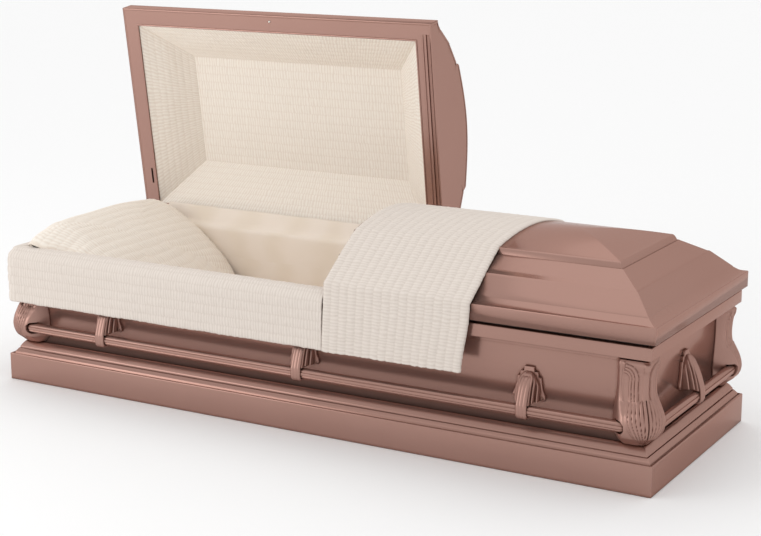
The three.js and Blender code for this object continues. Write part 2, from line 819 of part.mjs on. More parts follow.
function armSolid(top) {
  const plate = [
    ...PLATE_FLARE.map(([across, up]) => [-across, ARM_FOOT + up]),
    ...PLATE_STEPS.map(([across, down]) => [-across, top - down]),
  ];
  const outline = [...plate, ...plate.map(([across, up]) => [-across, up]).reverse()];
  const shape = new THREE.Shape(outline.map(([across, up]) => new THREE.Vector2(across, up)));
  const back = new THREE.ExtrudeGeometry(shape, { depth: ARM_BACK - GAP, bevelEnabled: false });
  back.rotateX(Math.PI / 2);
  back.translate(0, -GAP, 0);
  let arm = solid(back);
  for (const { half, drop, reach } of ARM_RIBS) {
    const profile = [...ribProfile(top - drop, ARM_FOOT, reach), [-GAP, ARM_FOOT]];
    arm = arm.add(solid(alongX(profile, -half, half)));
  }
  const hookEnd = -(BAR_STANDOFF - HOOK.inset);
  const hookBottom = BAR_HEIGHT - BAR_RADIUS - HOOK_THICKNESS;
  const strap = [
    ...ribProfile(top, BAR_HEIGHT, STRAP_REACH),
    [-STRAP_REACH, BAR_HEIGHT - HOOK.lip],
    [-(STRAP_REACH - HOOK.chamfer), hookBottom + HOOK.chamfer],
    [-(STRAP_REACH - HOOK.toe), hookBottom],
    [hookEnd, hookBottom],
    [hookEnd, ARM_FOOT],
    [-GAP, ARM_FOOT],
  ];
  arm = arm.add(solid(alongX(strap, -CLASP_WIDTH / 2, CLASP_WIDTH / 2)));
  for (const sign of [-1, 1]) {
    const scroll = new THREE.CylinderGeometry(SCROLL.radius, SCROLL.radius, SCROLL.depth - GAP, 10);
    scroll.translate(sign * SCROLL.across, -(SCROLL.depth + GAP) / 2, SCROLL.up);
    arm = arm.add(solid(scroll));
  }
  const clear = BAR_RADIUS + 2 * GAP;
  const tunnel = new THREE.CylinderGeometry(clear, clear, 3 * CLASP_WIDTH, 20);
  tunnel.rotateZ(Math.PI / 2);
  tunnel.translate(0, -BAR_STANDOFF, BAR_HEIGHT);
  return arm.subtract(solid(tunnel));
}

function addArm(name, side, along, top) {
  const geometry = toGeometry(armSolid(top));
  geometry.translate(along, 0, 0);
  add(casket, name, onSide(geometry, SIDES[side]), castPaint);
}
for (const side of ["front", "rear"]) {
  [-1, 0, 1].forEach((step, i) => {
    addArm(`handle_arm_${side}_${i + 1}`, side, step * ARM_SPACING, SIDE_ARM_TOP);
  });
}
addArm("handle_arm_foot_end", "foot_end", 0, END_ARM_TOP);
addArm("handle_arm_head_end", "head_end", 0, END_ARM_TOP);

// Hinges at the rear: a body leaf with the middle knuckle, a lid leaf with the two outer ones
const KNUCKLE_RADIUS = 4.5;
const KNUCKLE_LENGTH = 40;
const LEAF = { thickness: 1.2, width: 14, offset: 4 };
const HINGE_SHARES = { first: 0.21, second: 0.79 };
const headLength = headSplit + rim.x;
const footLength = rim.x - footSplit;
const HINGE_PLACES = {
  head_1: headSplit - headLength * HINGE_SHARES.second,
  head_2: headSplit - headLength * HINGE_SHARES.first,
  foot_1: footSplit + footLength * HINGE_SHARES.first,
  foot_2: footSplit + footLength * HINGE_SHARES.second,
};

function knuckle(from, to) {
  const barrel = new THREE.CylinderGeometry(KNUCKLE_RADIUS, KNUCKLE_RADIUS, to - from, 10);
  barrel.rotateZ(Math.PI / 2);
  barrel.translate((from + to) / 2, hingeY, hingeZ);
  return solid(barrel);
}

function leaf(x, up) {
  const half = KNUCKLE_LENGTH * 1.5;
  const low = up > 0 ? LEAF.offset : -LEAF.offset - LEAF.thickness;
  const high = low + LEAF.thickness;
  return solid(block([x - half, hingeY - LEAF.width, hingeZ + low], [x + half, hingeY, hingeZ + high]));
}

for (const [place, x] of Object.entries(HINGE_PLACES)) {
  const half = KNUCKLE_LENGTH / 2;
  const outer = half + KNUCKLE_LENGTH;
  const middle = knuckle(x - half + GAP, x + half - GAP);
  const left = knuckle(x - outer, x - half - GAP);
  const right = knuckle(x + half + GAP, x + outer);
  const reach = LEAF.width + 1;
  const inner = hingeY - KNUCKLE_RADIUS - GAP;
  const clear = (from, to) =>
    solid(block([from, inner, hingeZ - reach], [to, hingeY + reach, hingeZ + reach]));
  const besideMiddle = clear(x - outer - 1, x - half).add(clear(x + half, x + outer + 1));
  const bodyLeaf = leaf(x, -1).subtract(besideMiddle);
  const lidLeaf = leaf(x, 1).subtract(clear(x - half, x + half));
  add(casket, `hinge_${place}_body_leaf`, toGeometry(middle.add(bodyLeaf)), steelPaint);
  const lidGroup = place.startsWith("head") ? headLid.closed : footLid.closed;
  add(lidGroup, `hinge_${place}_lid_leaf`, toGeometry(left.add(right).add(lidLeaf)), steelPaint);
}

// Bed: a folded steel deck that stands on the pan, and the mattress on it
const DECK_INSET = 22;
const deckTop = BED_TOP - MATTRESS_THICKNESS - GAP;
const bed = { x: wall.x - DECK_INSET, y: wall.y - DECK_INSET };
add(
  casket,
  "bed_deck",
  alongX(
    closeSheet(
      bentSheet(
        [
          [-bed.y, SHEET + GAP],
          [-bed.y, deckTop],
          [bed.y, deckTop],
          [bed.y, SHEET + GAP],
        ],
        -SHEET,
      ),
    ),
    -bed.x,
    bed.x,
  ),
  steelPaint,
);
const MATTRESS_MARGIN = 6;
add(
  casket,
  "mattress",
  block(
    [-(bed.x - MATTRESS_MARGIN), -(bed.y - MATTRESS_MARGIN), deckTop + GAP],
    [bed.x - MATTRESS_MARGIN, bed.y - MATTRESS_MARGIN, BED_TOP],
  ),
  plainCloth,
);

// Padded linings on the four walls
const liningBack = SHEET + GAP;
const liningTop = BODY_TOP - 1;
const liningOutline = [
  [liningBack, deckTop],
  [liningBack, liningTop],
  [liningBack + PADDING, liningTop],
  [liningBack + PADDING, deckTop],
];
SIDE_NAMES.forEach((name, side) => {
  add(casket, `wall_lining_${name}`, mitredSide(insetSection(wall, liningOutline), side), plainCloth);
});

// Pillow: a soft wedge against the head end, its top slanting down toward the bed
const PILLOW = { length: 350, sideClear: 12.5, rise: 237, crownRise: 251, toe: 34, headClear: 61 };
const PILLOW_BULGE = { along: 0.45, up: 0.64 };
const PILLOW_CROWN_ALONG = 0.14;
const PILLOW_ROUND = { top: 12, side: 24 };
const pillowHead = -(ledge.x - PILLOW.headClear);
const pillowHalf = wall.y - liningBack - PADDING - PILLOW.sideClear;
const pillowTop = BED_TOP + PILLOW.rise;
function pillowSolid() {
  const foot = pillowHead + PILLOW.length;
  const profile = [
    [pillowHead, BED_TOP + GAP],
    [foot - PILLOW.toe / 2, BED_TOP + GAP],
    [foot, BED_TOP + PILLOW.toe / 2],
    [foot - PILLOW.toe, BED_TOP + PILLOW.toe * 1.6],
    [pillowHead + PILLOW.length * PILLOW_BULGE.along, BED_TOP + PILLOW.rise * PILLOW_BULGE.up],
    [pillowHead + PILLOW.length * PILLOW_CROWN_ALONG, BED_TOP + PILLOW.crownRise],
    [pillowHead + PILLOW_ROUND.top, pillowTop],
    [pillowHead, pillowTop - PILLOW_ROUND.side],
  ];
  const shape = new THREE.Shape(profile.map(([x, z]) => new THREE.Vector2(x, z)));
  const geometry = new THREE.ExtrudeGeometry(shape, { depth: 2 * pillowHalf, bevelEnabled: false });
  geometry.rotateX(Math.PI / 2);
  geometry.translate(0, pillowHalf, 0);
  return geometry;
}
add(casket, "pillow", pillowSolid(), crepe);

// Apron: padded cloth over the ledge along the front and round the head end, hanging outside
const APRON = { outside: 20, inside: 60, innerBottom: 310, innerCut: 4, cutGrowth: 0.3, rearClear: 24 };
// The roll over the ledge: how far each of its points lies in from the side and down from the top
const ROLL_OUTSIDE = [
  [0, 22],
  [4, 10],
  [15, 3],
  [36, 0],
];
const ROLL_INSIDE = [
  [22, 2],
  [8, 10],
  [0, 24],
];
const apronFootEnd = headSplit - GAP;
const apronRearEnd = wall.y - APRON.rearClear;
function apronSolid() {
  const under = rimBottom + GAP;
  const section = [
    [APRON.outside, APRON_BOTTOM],
    ...ROLL_OUTSIDE.map(([across, down]) => [APRON.outside - across, APRON_TOP - down]),
    ...ROLL_INSIDE.map(([across, down]) => [across - APRON.inside, APRON_TOP - down]),
    [-APRON.inside, APRON.innerBottom],
    [-(APRON.inside - CLOTH), APRON.innerBottom],
    [-(APRON.inside - CLOTH), under],
    [APRON.outside - CLOTH, under],
    [APRON.outside - CLOTH, APRON_BOTTOM],
  ];
  const points = [];
  const stops = 4;
  for (const [out, z] of section) {
    const cut = APRON.innerCut + APRON.cutGrowth * (out + APRON.inside);
    const x = ledge.x + out;
    const y = ledge.y + out;
    points.push([apronFootEnd, -y, z], [-(x - cut), -y, z], [-x, -(y - cut), z], [-x, apronRearEnd, z]);
  }
  const faces = [];
  section.forEach((_, i) => {
    const j = (i + 1) % section.length;
    for (let k = 0; k + 1 < stops; k += 1) {
      faces.push([i * stops + k, i * stops + k + 1, j * stops + k + 1, j * stops + k]);
    }
  });
  for (const triangle of fillOutline(section)) {
    faces.push(triangle.map((corner) => corner * stops));
    faces.push(triangle.map((corner) => corner * stops + stops - 1).reverse());
  }
  return orient(points, faces);
}
add(casket, "apron", apronSolid(), crepe);

// Hinge cover: cloth from the rear lining up in front of the open lid's lower edge
const COVER = { from: -955, to: 62, proud: 8, lean: 12 };
add(
  casket,
  "hinge_cover",
  alongX(
    closeSheet(
      bentSheet(
        [
          [wall.y - SHEET - PADDING, BODY_TOP + GAP],
          [wall.y - SHEET - PADDING, rimBottom + 2],
          [wall.y + COVER.proud, rimBottom + 3],
          [wall.y + COVER.proud + COVER.lean, COVER_TOP],
        ],
        CLOTH,
      ),
    ),
    COVER.from,
    COVER.to,
  ),
  plainCloth,
);

export default casket;
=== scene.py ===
"""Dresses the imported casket: enamelled steel panels, cast corners and arms, and a stitched crepe interior.

Lengths are in millimetres until a mesh is made. +X runs to the foot end, +Y to the rear, +Z up.
"""
import json
import math

import bmesh
import bpy
from mathutils import Matrix, Vector, noise


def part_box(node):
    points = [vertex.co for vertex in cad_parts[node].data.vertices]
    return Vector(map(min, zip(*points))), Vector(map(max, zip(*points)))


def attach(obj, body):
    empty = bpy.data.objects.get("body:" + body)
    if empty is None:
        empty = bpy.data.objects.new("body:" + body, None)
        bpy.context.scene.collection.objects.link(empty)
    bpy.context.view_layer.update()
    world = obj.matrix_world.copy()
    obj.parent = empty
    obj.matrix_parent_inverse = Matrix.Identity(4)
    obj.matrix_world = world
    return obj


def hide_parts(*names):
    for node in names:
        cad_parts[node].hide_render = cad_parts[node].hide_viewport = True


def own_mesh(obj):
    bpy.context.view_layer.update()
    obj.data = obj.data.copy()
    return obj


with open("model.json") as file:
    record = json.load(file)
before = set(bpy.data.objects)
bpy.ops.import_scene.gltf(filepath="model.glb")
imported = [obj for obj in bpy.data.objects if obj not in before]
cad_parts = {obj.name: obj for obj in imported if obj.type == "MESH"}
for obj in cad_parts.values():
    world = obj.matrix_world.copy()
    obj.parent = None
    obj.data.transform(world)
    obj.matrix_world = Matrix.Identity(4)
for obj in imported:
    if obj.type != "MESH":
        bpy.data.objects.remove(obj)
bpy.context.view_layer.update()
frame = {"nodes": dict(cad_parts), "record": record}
nodes = frame["nodes"]
MM = 0.001
SIDES = ("front", "foot_end", "rear", "head_end")

# Sizes shared with the solids
BASE = (1065.0, 362.0)
LEDGE = (1051.0, 354.0)
WALL = (1011.0, 314.0)
RIM = (1063.5, 364.7)
SHEET = 1.2
GAP = 0.3
FASCIA_TOP = 84.0
BASE_TOP = 122.0
LEDGE_BOTTOM = 356.8
BODY_TOP = 391.8
RIM_BOTTOM = 402.8
RIM_HEIGHT = 44.7
SPLIT = {"head_lid": 90.4, "foot_lid": 92.0}
HINGE = Vector((0, 357, 397.3))
OPEN_TURN = math.radians(-81.7)
TO_HINGE = Matrix.Translation(HINGE * MM)
HEAD_LID_OPEN = TO_HINGE @ Matrix.Rotation(OPEN_TURN, 4, "X") @ TO_HINGE.inverted()
BAR_HEIGHT = 175.0
BAR_STANDOFF = 40.0
BAR_RADIUS = 15.0
BED_TOP = 225.0
FRAME_WIDTH = 56.0
CAP_INSET = 126.0
CAP_HEIGHT = 120.0
CREASE = math.radians(38)


def linear(colour):
    """An sRGB hex colour as linear red, green, blue and alpha."""
    parts = [int(colour[i : i + 2], 16) / 255 for i in (1, 3, 5)]
    return [c / 12.92 if c <= 0.04045 else ((c + 0.055) / 1.055) ** 2.4 for c in parts] + [1]


def mix(a, b, t):
    return a + (b - a) * t


def ease(t):
    """0 to 1 with soft ends, for t from 0 to 1 and flat outside."""
    t = min(max(t, 0), 1)
    return t * t * (3 - 2 * t)


def wander(a, b, seed=0.0):
    """Smooth noise from about -1 to 1."""
    return noise.noise(Vector((a, b, seed * 7.3 + 0.5)))


def through(points, at):
    """A smooth curve through (position, value) pairs, read at a position."""
    last = len(points) - 1
    if at <= points[0][0]:
        return points[0][1]
    if at >= points[last][0]:
        return points[last][1]
    k = max(i for i in range(last) if points[i][0] <= at)
    (x0, y0), (x1, y1) = points[k], points[k + 1]
    before, after = points[max(k - 1, 0)], points[min(k + 2, last)]
    slope_in = (y1 - before[1]) / (x1 - before[0])
    slope_out = (after[1] - y0) / (after[0] - x0)
    t = (at - x0) / (x1 - x0)
    step = x1 - x0
    return (
        y0 * (1 + 2 * t) * (1 - t) ** 2
        + slope_in * step * t * (1 - t) ** 2
        + y1 * t * t * (3 - 2 * t)
        + slope_out * step * t * t * (t - 1)
    )


def hollow(t):
    """0 to 1, level at first and steep at the end."""
    return 1 - math.cos(t * math.pi / 2)


def swelling(t):
    """0 to 1, steep at first and level at the end."""
    return math.sin(t * math.pi / 2)


def straight(t):
    return t


def bead(t):
    """A rounded rib over t from 0 to 1."""
    t = min(max(t, 0), 1)
    return math.sqrt(max(0.0, 1 - (2 * t - 1) ** 2))


def spaced(points, count):
    """Points at even steps along a path, with the length left to its end at each."""
    lengths = [0.0]
    for a, b in zip(points, points[1:]):
        lengths.append(lengths[-1] + math.dist(a, b))
    made = []
    k = 1
    for step in range(count + 1):
        target = lengths[-1] * step / count
        while k < len(points) - 1 and lengths[k] < target:
            k += 1
        t = (target - lengths[k - 1]) / ((lengths[k] - lengths[k - 1]) or 1)
        a, b = points[k - 1], points[k]
        made.append((mix(a[0], b[0], t), mix(a[1], b[1], t), lengths[-1] - target))
    return made


def walk(points, count):
    """A path resampled at even steps, with the distance walked at each point."""
    total = spaced(points, 1)[0][2]
    return [(a, b, total - left) for a, b, left in spaced(points, count)]


def facing(path, k):
    """The direction square to a path of (a, b) points at one of them."""
    before, after = path[max(k - 1, 0)], path[min(k + 1, len(path) - 1)]
    return Vector((before[1] - after[1], after[0] - before[0])).normalized()


def add_node(tree, kind, values=None, links=None, **settings):
    """A shader node with its settings, input values, and links from outputs given by input name."""
    made = tree.nodes.new("ShaderNode" + kind)
    for name, value in settings.items():
        setattr(made, name, value)
    for name, value in (values or {}).items():
        made.inputs[name].default_value = value
    for name, output in (links or {}).items():
        tree.links.new(output, made.inputs[name])
    return made


def new_material(name, **values):
    """A material whose Principled shader has these constant values; returns it with its tree and shader."""
    material = bpy.data.materials.new(name)
    material.use_nodes = True
    tree = material.node_tree
    shader = tree.nodes["Principled BSDF"]
    for socket, value in values.items():
        shader.inputs[socket.replace("_", " ")].default_value = value
    return material, tree, shader


def enamel(name, pale, deep, recess_shade, reach, satin):
    """Baked metallic enamel sprayed on metal: a satin gloss under a thin clear film, a faint orange peel
    2 to 3 mm across, a slow drift in tone, and painted shade: a browner colour mixed in by ambient occlusion
    within reach of a corner."""
    material, tree, shader = new_material(
        name,
        Metallic=0.65,
        Roughness=satin,
        Coat_Weight=0.15,
        Coat_Roughness=0.08,
        Specular_Tint=linear("#cfa596"),
    )
    place = add_node(tree, "TexCoord").outputs["Object"]
    drift = add_node(tree, "TexNoise", {"Scale": 2.2, "Detail": 2.0}, {"Vector": place})
    tone = add_node(
        tree,
        "Mix",
        {"A": linear(pale), "B": linear(deep)},
        {"Factor": drift.outputs["Fac"]},
        data_type="RGBA",
    )
    # Painted shade: ambient occlusion within reach of a corner darkens the colour towards brown in recesses and
    # creases
    recess = add_node(tree, "AmbientOcclusion", {"Distance": reach * MM}, samples=8)
    share = add_node(
        tree,
        "MapRange",
        {"From Min": 0.25, "From Max": 0.88, "To Min": 1.0, "To Max": 0.0},
        {"Value": recess.outputs["AO"]},
    )
    colour = add_node(
        tree,
        "Mix",
        {"B": linear(recess_shade)},
        {"Factor": share.outputs["Result"], "A": tone.outputs["Result"]},
        data_type="RGBA",
    )
    tree.links.new(colour.outputs["Result"], shader.inputs["Base Color"])
    peel = add_node(tree, "TexNoise", {"Scale": 420.0, "Detail": 1.0}, {"Vector": place})
    bump = add_node(tree, "Bump", {"Strength": 0.05, "Distance": 0.0002}, {"Height": peel.outputs["Fac"]})
    tree.links.new(bump.outputs["Normal"], shader.inputs["Normal"])
    return material


ONE_BAND = math.pi / 10
THREAD = 1.6


def cloth(name, crest, valley_shade, wave, drift, depth, stitch):
    """Woven cloth read from its own UV map, where u runs along a stitched channel in metres and v counts
    channels. Puckers a wave apart stand across each channel. Drift says how far a channel's puckers differ
    from the next one's, and stitch is what is left of their height at a stitch line. The threads are drawn
    coarser than the real ones, so that they show."""
    material, tree, shader = new_material(
        name, Roughness=0.9, Sheen_Weight=0.1, Sheen_Roughness=0.45, Specular_IOR_Level=0.2
    )
    place = add_node(tree, "UVMap").outputs["UV"]
    parts = add_node(tree, "SeparateXYZ", links={"Vector": place})
    row = add_node(tree, "Math", links={0: parts.outputs["Y"]}, operation="FLOOR")
    shift = add_node(
        tree, "Math", {1: drift}, {0: row.outputs[0], 2: parts.outputs["Y"]}, operation="MULTIPLY_ADD"
    )
    length = add_node(tree, "Math", {1: 1 / (wave * MM)}, {0: parts.outputs["X"]}, operation="MULTIPLY")
    pair = add_node(tree, "CombineXYZ", links={"X": length.outputs[0], "Y": shift.outputs[0]})
    spot = pair.outputs["Vector"]
    rungs = add_node(
        tree,
        "TexWave",
        {"Scale": ONE_BAND, "Distortion": 5.0, "Detail": 1.0, "Detail Scale": 1.1},
        {"Vector": spot},
    )
    crumple = add_node(tree, "TexNoise", {"Scale": 1.6, "Detail": 2.0}, {"Vector": spot})
    pucker = add_node(
        tree,
        "Mix",
        {"Factor": 0.5},
        {"A": rungs.outputs["Fac"], "B": crumple.outputs["Fac"]},
        data_type="FLOAT",
    )
    from_stitch = add_node(tree, "Math", {1: 0.5}, {0: parts.outputs["Y"]}, operation="PINGPONG")
    ridge = add_node(
        tree,
        "MapRange",
        {"From Min": 0.0, "From Max": 0.16, "To Min": stitch, "To Max": 1.0},
        {"Value": from_stitch.outputs[0]},
    )
    relief = add_node(
        tree, "Math", links={0: pucker.outputs["Result"], 1: ridge.outputs["Result"]}, operation="MULTIPLY"
    )
    # Painted shade: the colour darkens towards the valley colour where the relief is low, in the puckers'
    # hollows and along the stitch lines, and is lighter on the crests
    tone = add_node(tree, "MapRange", {"From Min": 0.2, "From Max": 0.66}, {"Value": relief.outputs[0]})
    colour = add_node(
        tree,
        "Mix",
        {"A": linear(valley_shade), "B": linear(crest)},
        {"Factor": tone.outputs["Result"]},
        data_type="RGBA",
    )
    tree.links.new(colour.outputs["Result"], shader.inputs["Base Color"])
    fold = add_node(tree, "Bump", {"Strength": 0.45, "Distance": depth * MM}, {"Height": relief.outputs[0]})
    place = add_node(tree, "TexCoord").outputs["Object"]
    thread = add_node(tree, "TexNoise", {"Scale": 1 / (THREAD * MM), "Detail": 1.0}, {"Vector": place})
    weave = add_node(
        tree,
        "Bump",
        {"Strength": 0.2, "Distance": 0.0003},
        {"Height": thread.outputs["Fac"], "Normal": fold.outputs["Normal"]},
    )
    tree.links.new(weave.outputs["Normal"], shader.inputs["Normal"])
    return material


STEEL = enamel("baked_enamel_on_sheet_steel", "#a9857a", "#a17c71", recess_shade="#6a402f", reach=14, satin=0.22)
CAST = enamel("baked_enamel_on_zinc_casting", "#ab887d", "#a37d72", recess_shade="#59321f", reach=9, satin=0.34)
CREPE = cloth("crinkled_crepe", "#e0d6cd", "#d5cac0", wave=9.5, drift=4.8, depth=1.0, stitch=0.66)
# Painted light: the same crepe as the apron's and the throw's, made paler to make up for the shade inside the
# casket and its open lid
CREPE_LIGHTENED_FOR_SHADE = cloth(
    "crinkled_crepe_lightened_for_the_shaded_interior", "#f3ebe0", "#e8dccf", wave=10, drift=4.8, depth=0.9, stitch=0.66
)
PLAIN = cloth("plain_woven_lining", "#f0e4d7", "#ebdece", wave=160, drift=0.7, depth=0.8, stitch=1.0)
# Sponge rubber: a matt near-black with open pores that mottle it
RUBBER, rubber_tree, rubber_shader = new_material("sponge_rubber", Roughness=0.85)
rubber_grain = add_node(rubber_tree, "TexNoise", {"Scale": 600.0})
rubber_tone = add_node(
    rubber_tree,
    "Mix",
    {"A": linear("#241d1a"), "B": linear("#332a26")},
    {"Factor": rubber_grain.outputs["Fac"]},
    data_type="RGBA",
)
rubber_tree.links.new(rubber_tone.outputs["Result"], rubber_shader.inputs["Base Color"])
# Nickel plate: a bright mirror with a faint grain of polishing
NICKEL, nickel_tree, nickel_shader = new_material(
    "bright_nickel_plate", Base_Color=linear("#d8d2ca"), Metallic=1.0, Roughness=0.2
)
nickel_grain = add_node(nickel_tree, "TexNoise", {"Scale": 900.0})
nickel_bump = add_node(
    nickel_tree, "Bump", {"Strength": 0.04, "Distance": 0.0001}, {"Height": nickel_grain.outputs["Fac"]}
)
nickel_tree.links.new(nickel_bump.outputs["Normal"], nickel_shader.inputs["Normal"])
SLOTS = {
    STEEL: "painted_steel",
    CAST: "painted_casting",
    CREPE: "crepe",
    CREPE_LIGHTENED_FOR_SHADE: "crepe",
    PLAIN: "plain_cloth",
    RUBBER: "gasket_rubber",
    NICKEL: "bright_steel",
}


def grid(bm, columns, rows, place, uv=None):
    """A sheet of cells whose corner (i, j) lies at place(i, j); its face is along the columns' direction
    crossed with the rows'. uv(i, j) gives its cloth coordinates in metres."""
    made = bmesh.ops.create_grid(bm, x_segments=columns, y_segments=rows, size=1)["verts"]
    layer = bm.loops.layers.uv.verify()
    for vert in made:
        i = round((vert.co.x + 1) / 2 * columns)
        j = round((vert.co.y + 1) / 2 * rows)
        vert.co = Vector(place(i, j)) * MM
        if uv:
            spot = uv(i, j)
            for loop in vert.link_loops:
                loop[layer].uv = spot
    return made


def close_holes(bm):
    bmesh.ops.holes_fill(bm, edges=[edge for edge in bm.edges if edge.is_boundary], sides=0)


def grow_border(bm):
    """New points along the open edges of a sheet, joined to it by faces."""
    border = [edge for edge in bm.edges if edge.is_boundary]
    grown = bmesh.ops.extrude_edge_only(bm, edges=border)["geom"]
    return [part for part in grown if isinstance(part, bmesh.types.BMVert)]


def loft(bm, sections):
    """A closed skin through closed sections that have the same number of points."""
    count = len(sections[0])
    made = grid(bm, count, len(sections) - 1, lambda i, j: sections[j][i % count])
    bmesh.ops.remove_doubles(bm, verts=made, dist=1e-6)
    close_holes(bm)


def add_piece(name, bm, body, material, replaces=(), closed=True, wall=0, crease=CREASE, merge=1e-6):
    """Makes the object, lays it on its body, and gives it its finish. A wall thickens an open sheet."""
    bmesh.ops.remove_doubles(bm, verts=bm.verts, dist=merge)
    if closed:
        bmesh.ops.recalc_face_normals(bm, faces=bm.faces)
    if body == "head_lid":
        bm.transform(HEAD_LID_OPEN)
    mesh = bpy.data.meshes.new(name)
    bm.to_mesh(mesh)
    bm.free()
    mesh.shade_smooth()
    mesh.set_sharp_from_angle(angle=crease)
    mesh.materials.append(material)
    piece = bpy.data.objects.new(name, mesh)
    bpy.context.scene.collection.objects.link(piece)
    if wall:
        shell = piece.modifiers.new("wall", "SOLIDIFY")
        shell.thickness = wall * MM
        shell.offset = -1
        # Steel keeps its gauge round its bends; in cloth, which has no creases, that would spike the folds
        shell.use_even_offset = crease < math.pi
        shell.use_quality_normals = True
    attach(piece, body)
    if replaces:
        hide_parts(*replaces)
    return piece


def fillet(path, radii, steps=4):
    """The path with arcs of the given radii at its inner points; a radius of 0 keeps the corner."""
    made = [path[0]]
    for before, here, after, radius in zip(path, path[1:], path[2:], radii):
        if not radius:
            made.append(here)
            continue
        here = Vector(here)
        back = (Vector(before) - here).normalized()
        on = (Vector(after) - here).normalized()
        half = back.angle(on) / 2
        reach = radius / math.tan(half)
        centre = here + (back + on).normalized() * radius / math.sin(half)
        start = here + back * reach - centre
        end = here + on * reach - centre
        sweep = start.angle(end)
        for k in range(steps + 1):
            t = k / steps
            spot = (start * math.sin((1 - t) * sweep) + end * math.sin(t * sweep)) / math.sin(sweep)
            made.append(tuple(centre + spot))
    made.append(path[-1])
    return made


CORNERS = ((-1, -1, 180), (1, -1, 270), (1, 1, 0), (-1, 1, 90))


def ring_stations(half, inset, radius, steps=4, corners=(0, 1, 2, 3)):
    """Points round a rectangle at an inset, with small arcs at its corners, anticlockwise from above."""
    radius = min(radius, half[1] - inset)
    spots = []
    for corner in corners:
        sign_x, sign_y, start = CORNERS[corner]
        for k in range(steps + 1):
            turn = math.radians(start + 90 * k / steps)
            x = sign_x * (half[0] - inset - radius) + radius * math.cos(turn)
            y = sign_y * (half[1] - inset - radius) + radius * math.sin(turn)
            spots.append((x, y))
    return spots


def ring(bm, half, profile, radius=2.0, middle=0.0):
    """A sheet round a rectangle from a profile of (inset, height), rounded at the four corners. The middle
    is the rectangle's own in x."""
    rows = [ring_stations(half, inset, radius) for inset, _ in profile]
    count = len(rows[0])

    def place(i, j):
        x, y = rows[j][i % count]
        return x + middle, y, profile[j][1]

    grid(bm, count, len(profile) - 1, place)


# Base moulding: a fascia with a soft top edge, a quirk behind it, and an ogee up to the wall. The ogee's
# own quirk is given by its share of the rise, its spread and its depth.
QUIRK_DEPTH = 3.0
OGEE_STEPS = 34
OGEE_INSETS = (12, 41.5)
OGEE_START = 0.22
OGEE_QUIRK = (0.3, 0.03, 3.4)


def ogee():
    """(inset, height) points from the fascia's quirk up to the wall."""
    centre, spread, depth = OGEE_QUIRK
    made = []
    for step in range(OGEE_STEPS + 1):
        t = step / OGEE_STEPS
        notch = depth * math.exp(-(((t - centre) / spread) ** 2))
        rise = (BASE_TOP - FASCIA_TOP) * (1 - math.cos(math.pi * mix(OGEE_START, 1, t))) / 2
        made.append((mix(*OGEE_INSETS, t) + notch * 0.5, FASCIA_TOP + rise - notch))
    return made


upper = ogee()
quirk = [(5.5, FASCIA_TOP), (6.5, FASCIA_TOP - QUIRK_DEPTH), (10, FASCIA_TOP - QUIRK_DEPTH), upper[0]]
base_profile = fillet([(28, 0), (0, 0), (0, FASCIA_TOP), quirk[0]], (1.5, 3.2), 5)
base_profile += fillet(quirk, (0.6, 1.5), 3)[1:-1] + upper
bm = bmesh.new()
ring(bm, BASE, base_profile, 2.5)
add_piece("base_moulding_skin", bm, "casket", STEEL, ("base_moulding",), closed=False, wall=SHEET)

# Body: flat wall, a cove that stands a little proud of it, and the ledge with its turned edges
COVE_FOOT = LEDGE_BOTTOM - 19
COVE_STEPS = 8
WALL_INSET = LEDGE[0] - WALL[0]
COVE_INSET = 37.5
GASKET = (16, 26)
body_profile = [(WALL_INSET, 1.5), (WALL_INSET, COVE_FOOT), (COVE_INSET, COVE_FOOT + 1.2)]
for step in range(COVE_STEPS + 1):
    turn = math.pi / 2 * step / COVE_STEPS
    body_profile.append((COVE_INSET - 15 * (1 - math.cos(turn)), COVE_FOOT + 3.5 + 15.5 * math.sin(turn)))
ledge_edge = [(0, LEDGE_BOTTOM), (0, BODY_TOP), (38, BODY_TOP), (38, BODY_TOP - 12)]
body_profile += fillet([body_profile[-1], *ledge_edge], (1.2, 2.0, 1.0), 4)[1:]
bm = bmesh.new()
ring(bm, LEDGE, body_profile)
panels = [f"body_panel_{side}" for side in SIDES]
add_piece("body_shell", bm, "casket", STEEL, panels, closed=False, wall=SHEET)
bm = bmesh.new()
gasket_foot, gasket_top = BODY_TOP + GAP, RIM_BOTTOM - 1
bulb = [(GASKET[0], gasket_foot), (GASKET[0], gasket_top), (GASKET[1], gasket_top), (GASKET[1], gasket_foot)]
ring(bm, LEDGE, fillet(bulb, (4.5, 4.5), 5))
add_piece("lid_gasket_bulb", bm, "casket", RUBBER, ("lid_gasket",), closed=False, wall=1.5)

# Lids: a stamped shell with rim, cove, two slopes, bead and crown, hipped at its outer end. Each stage has
# a width, a rise, its number of steps and the curve that it climbs by.
LID_CORNER = 2.2
LID_CREASE = math.radians(16)
LID_STAGES = (
    (30.5, 15, 8, hollow),
    (2.0, 3.0, 1, straight),
    (51, 48, 4, straight),
    (2.0, -0.6, 1, straight),
    (66, 37.6, 4, straight),
    (2.6, -1.8, 1, straight),
    (12.4, 18.8, 12, swelling),
    (RIM[1] - 170, 32, 22, swelling),
)


def lid_profile():
    """(inset, height over the rim's underside) from the rim's lower edge to the ridge: a cove, two slopes,
    a bead and the crown, with a small pressed step at the foot of each slope and of the bead."""
    made = fillet([(0, 0), (0, RIM_HEIGHT), (3.5, RIM_HEIGHT)], (1.8,), 7)
    for width, rise, steps, share in LID_STAGES:
        inset, height = made[-1]
        made += [(inset + width * k / steps, height + rise * share(k / steps)) for k in range(1, steps + 1)]
    return made


LID_PROFILE = lid_profile()


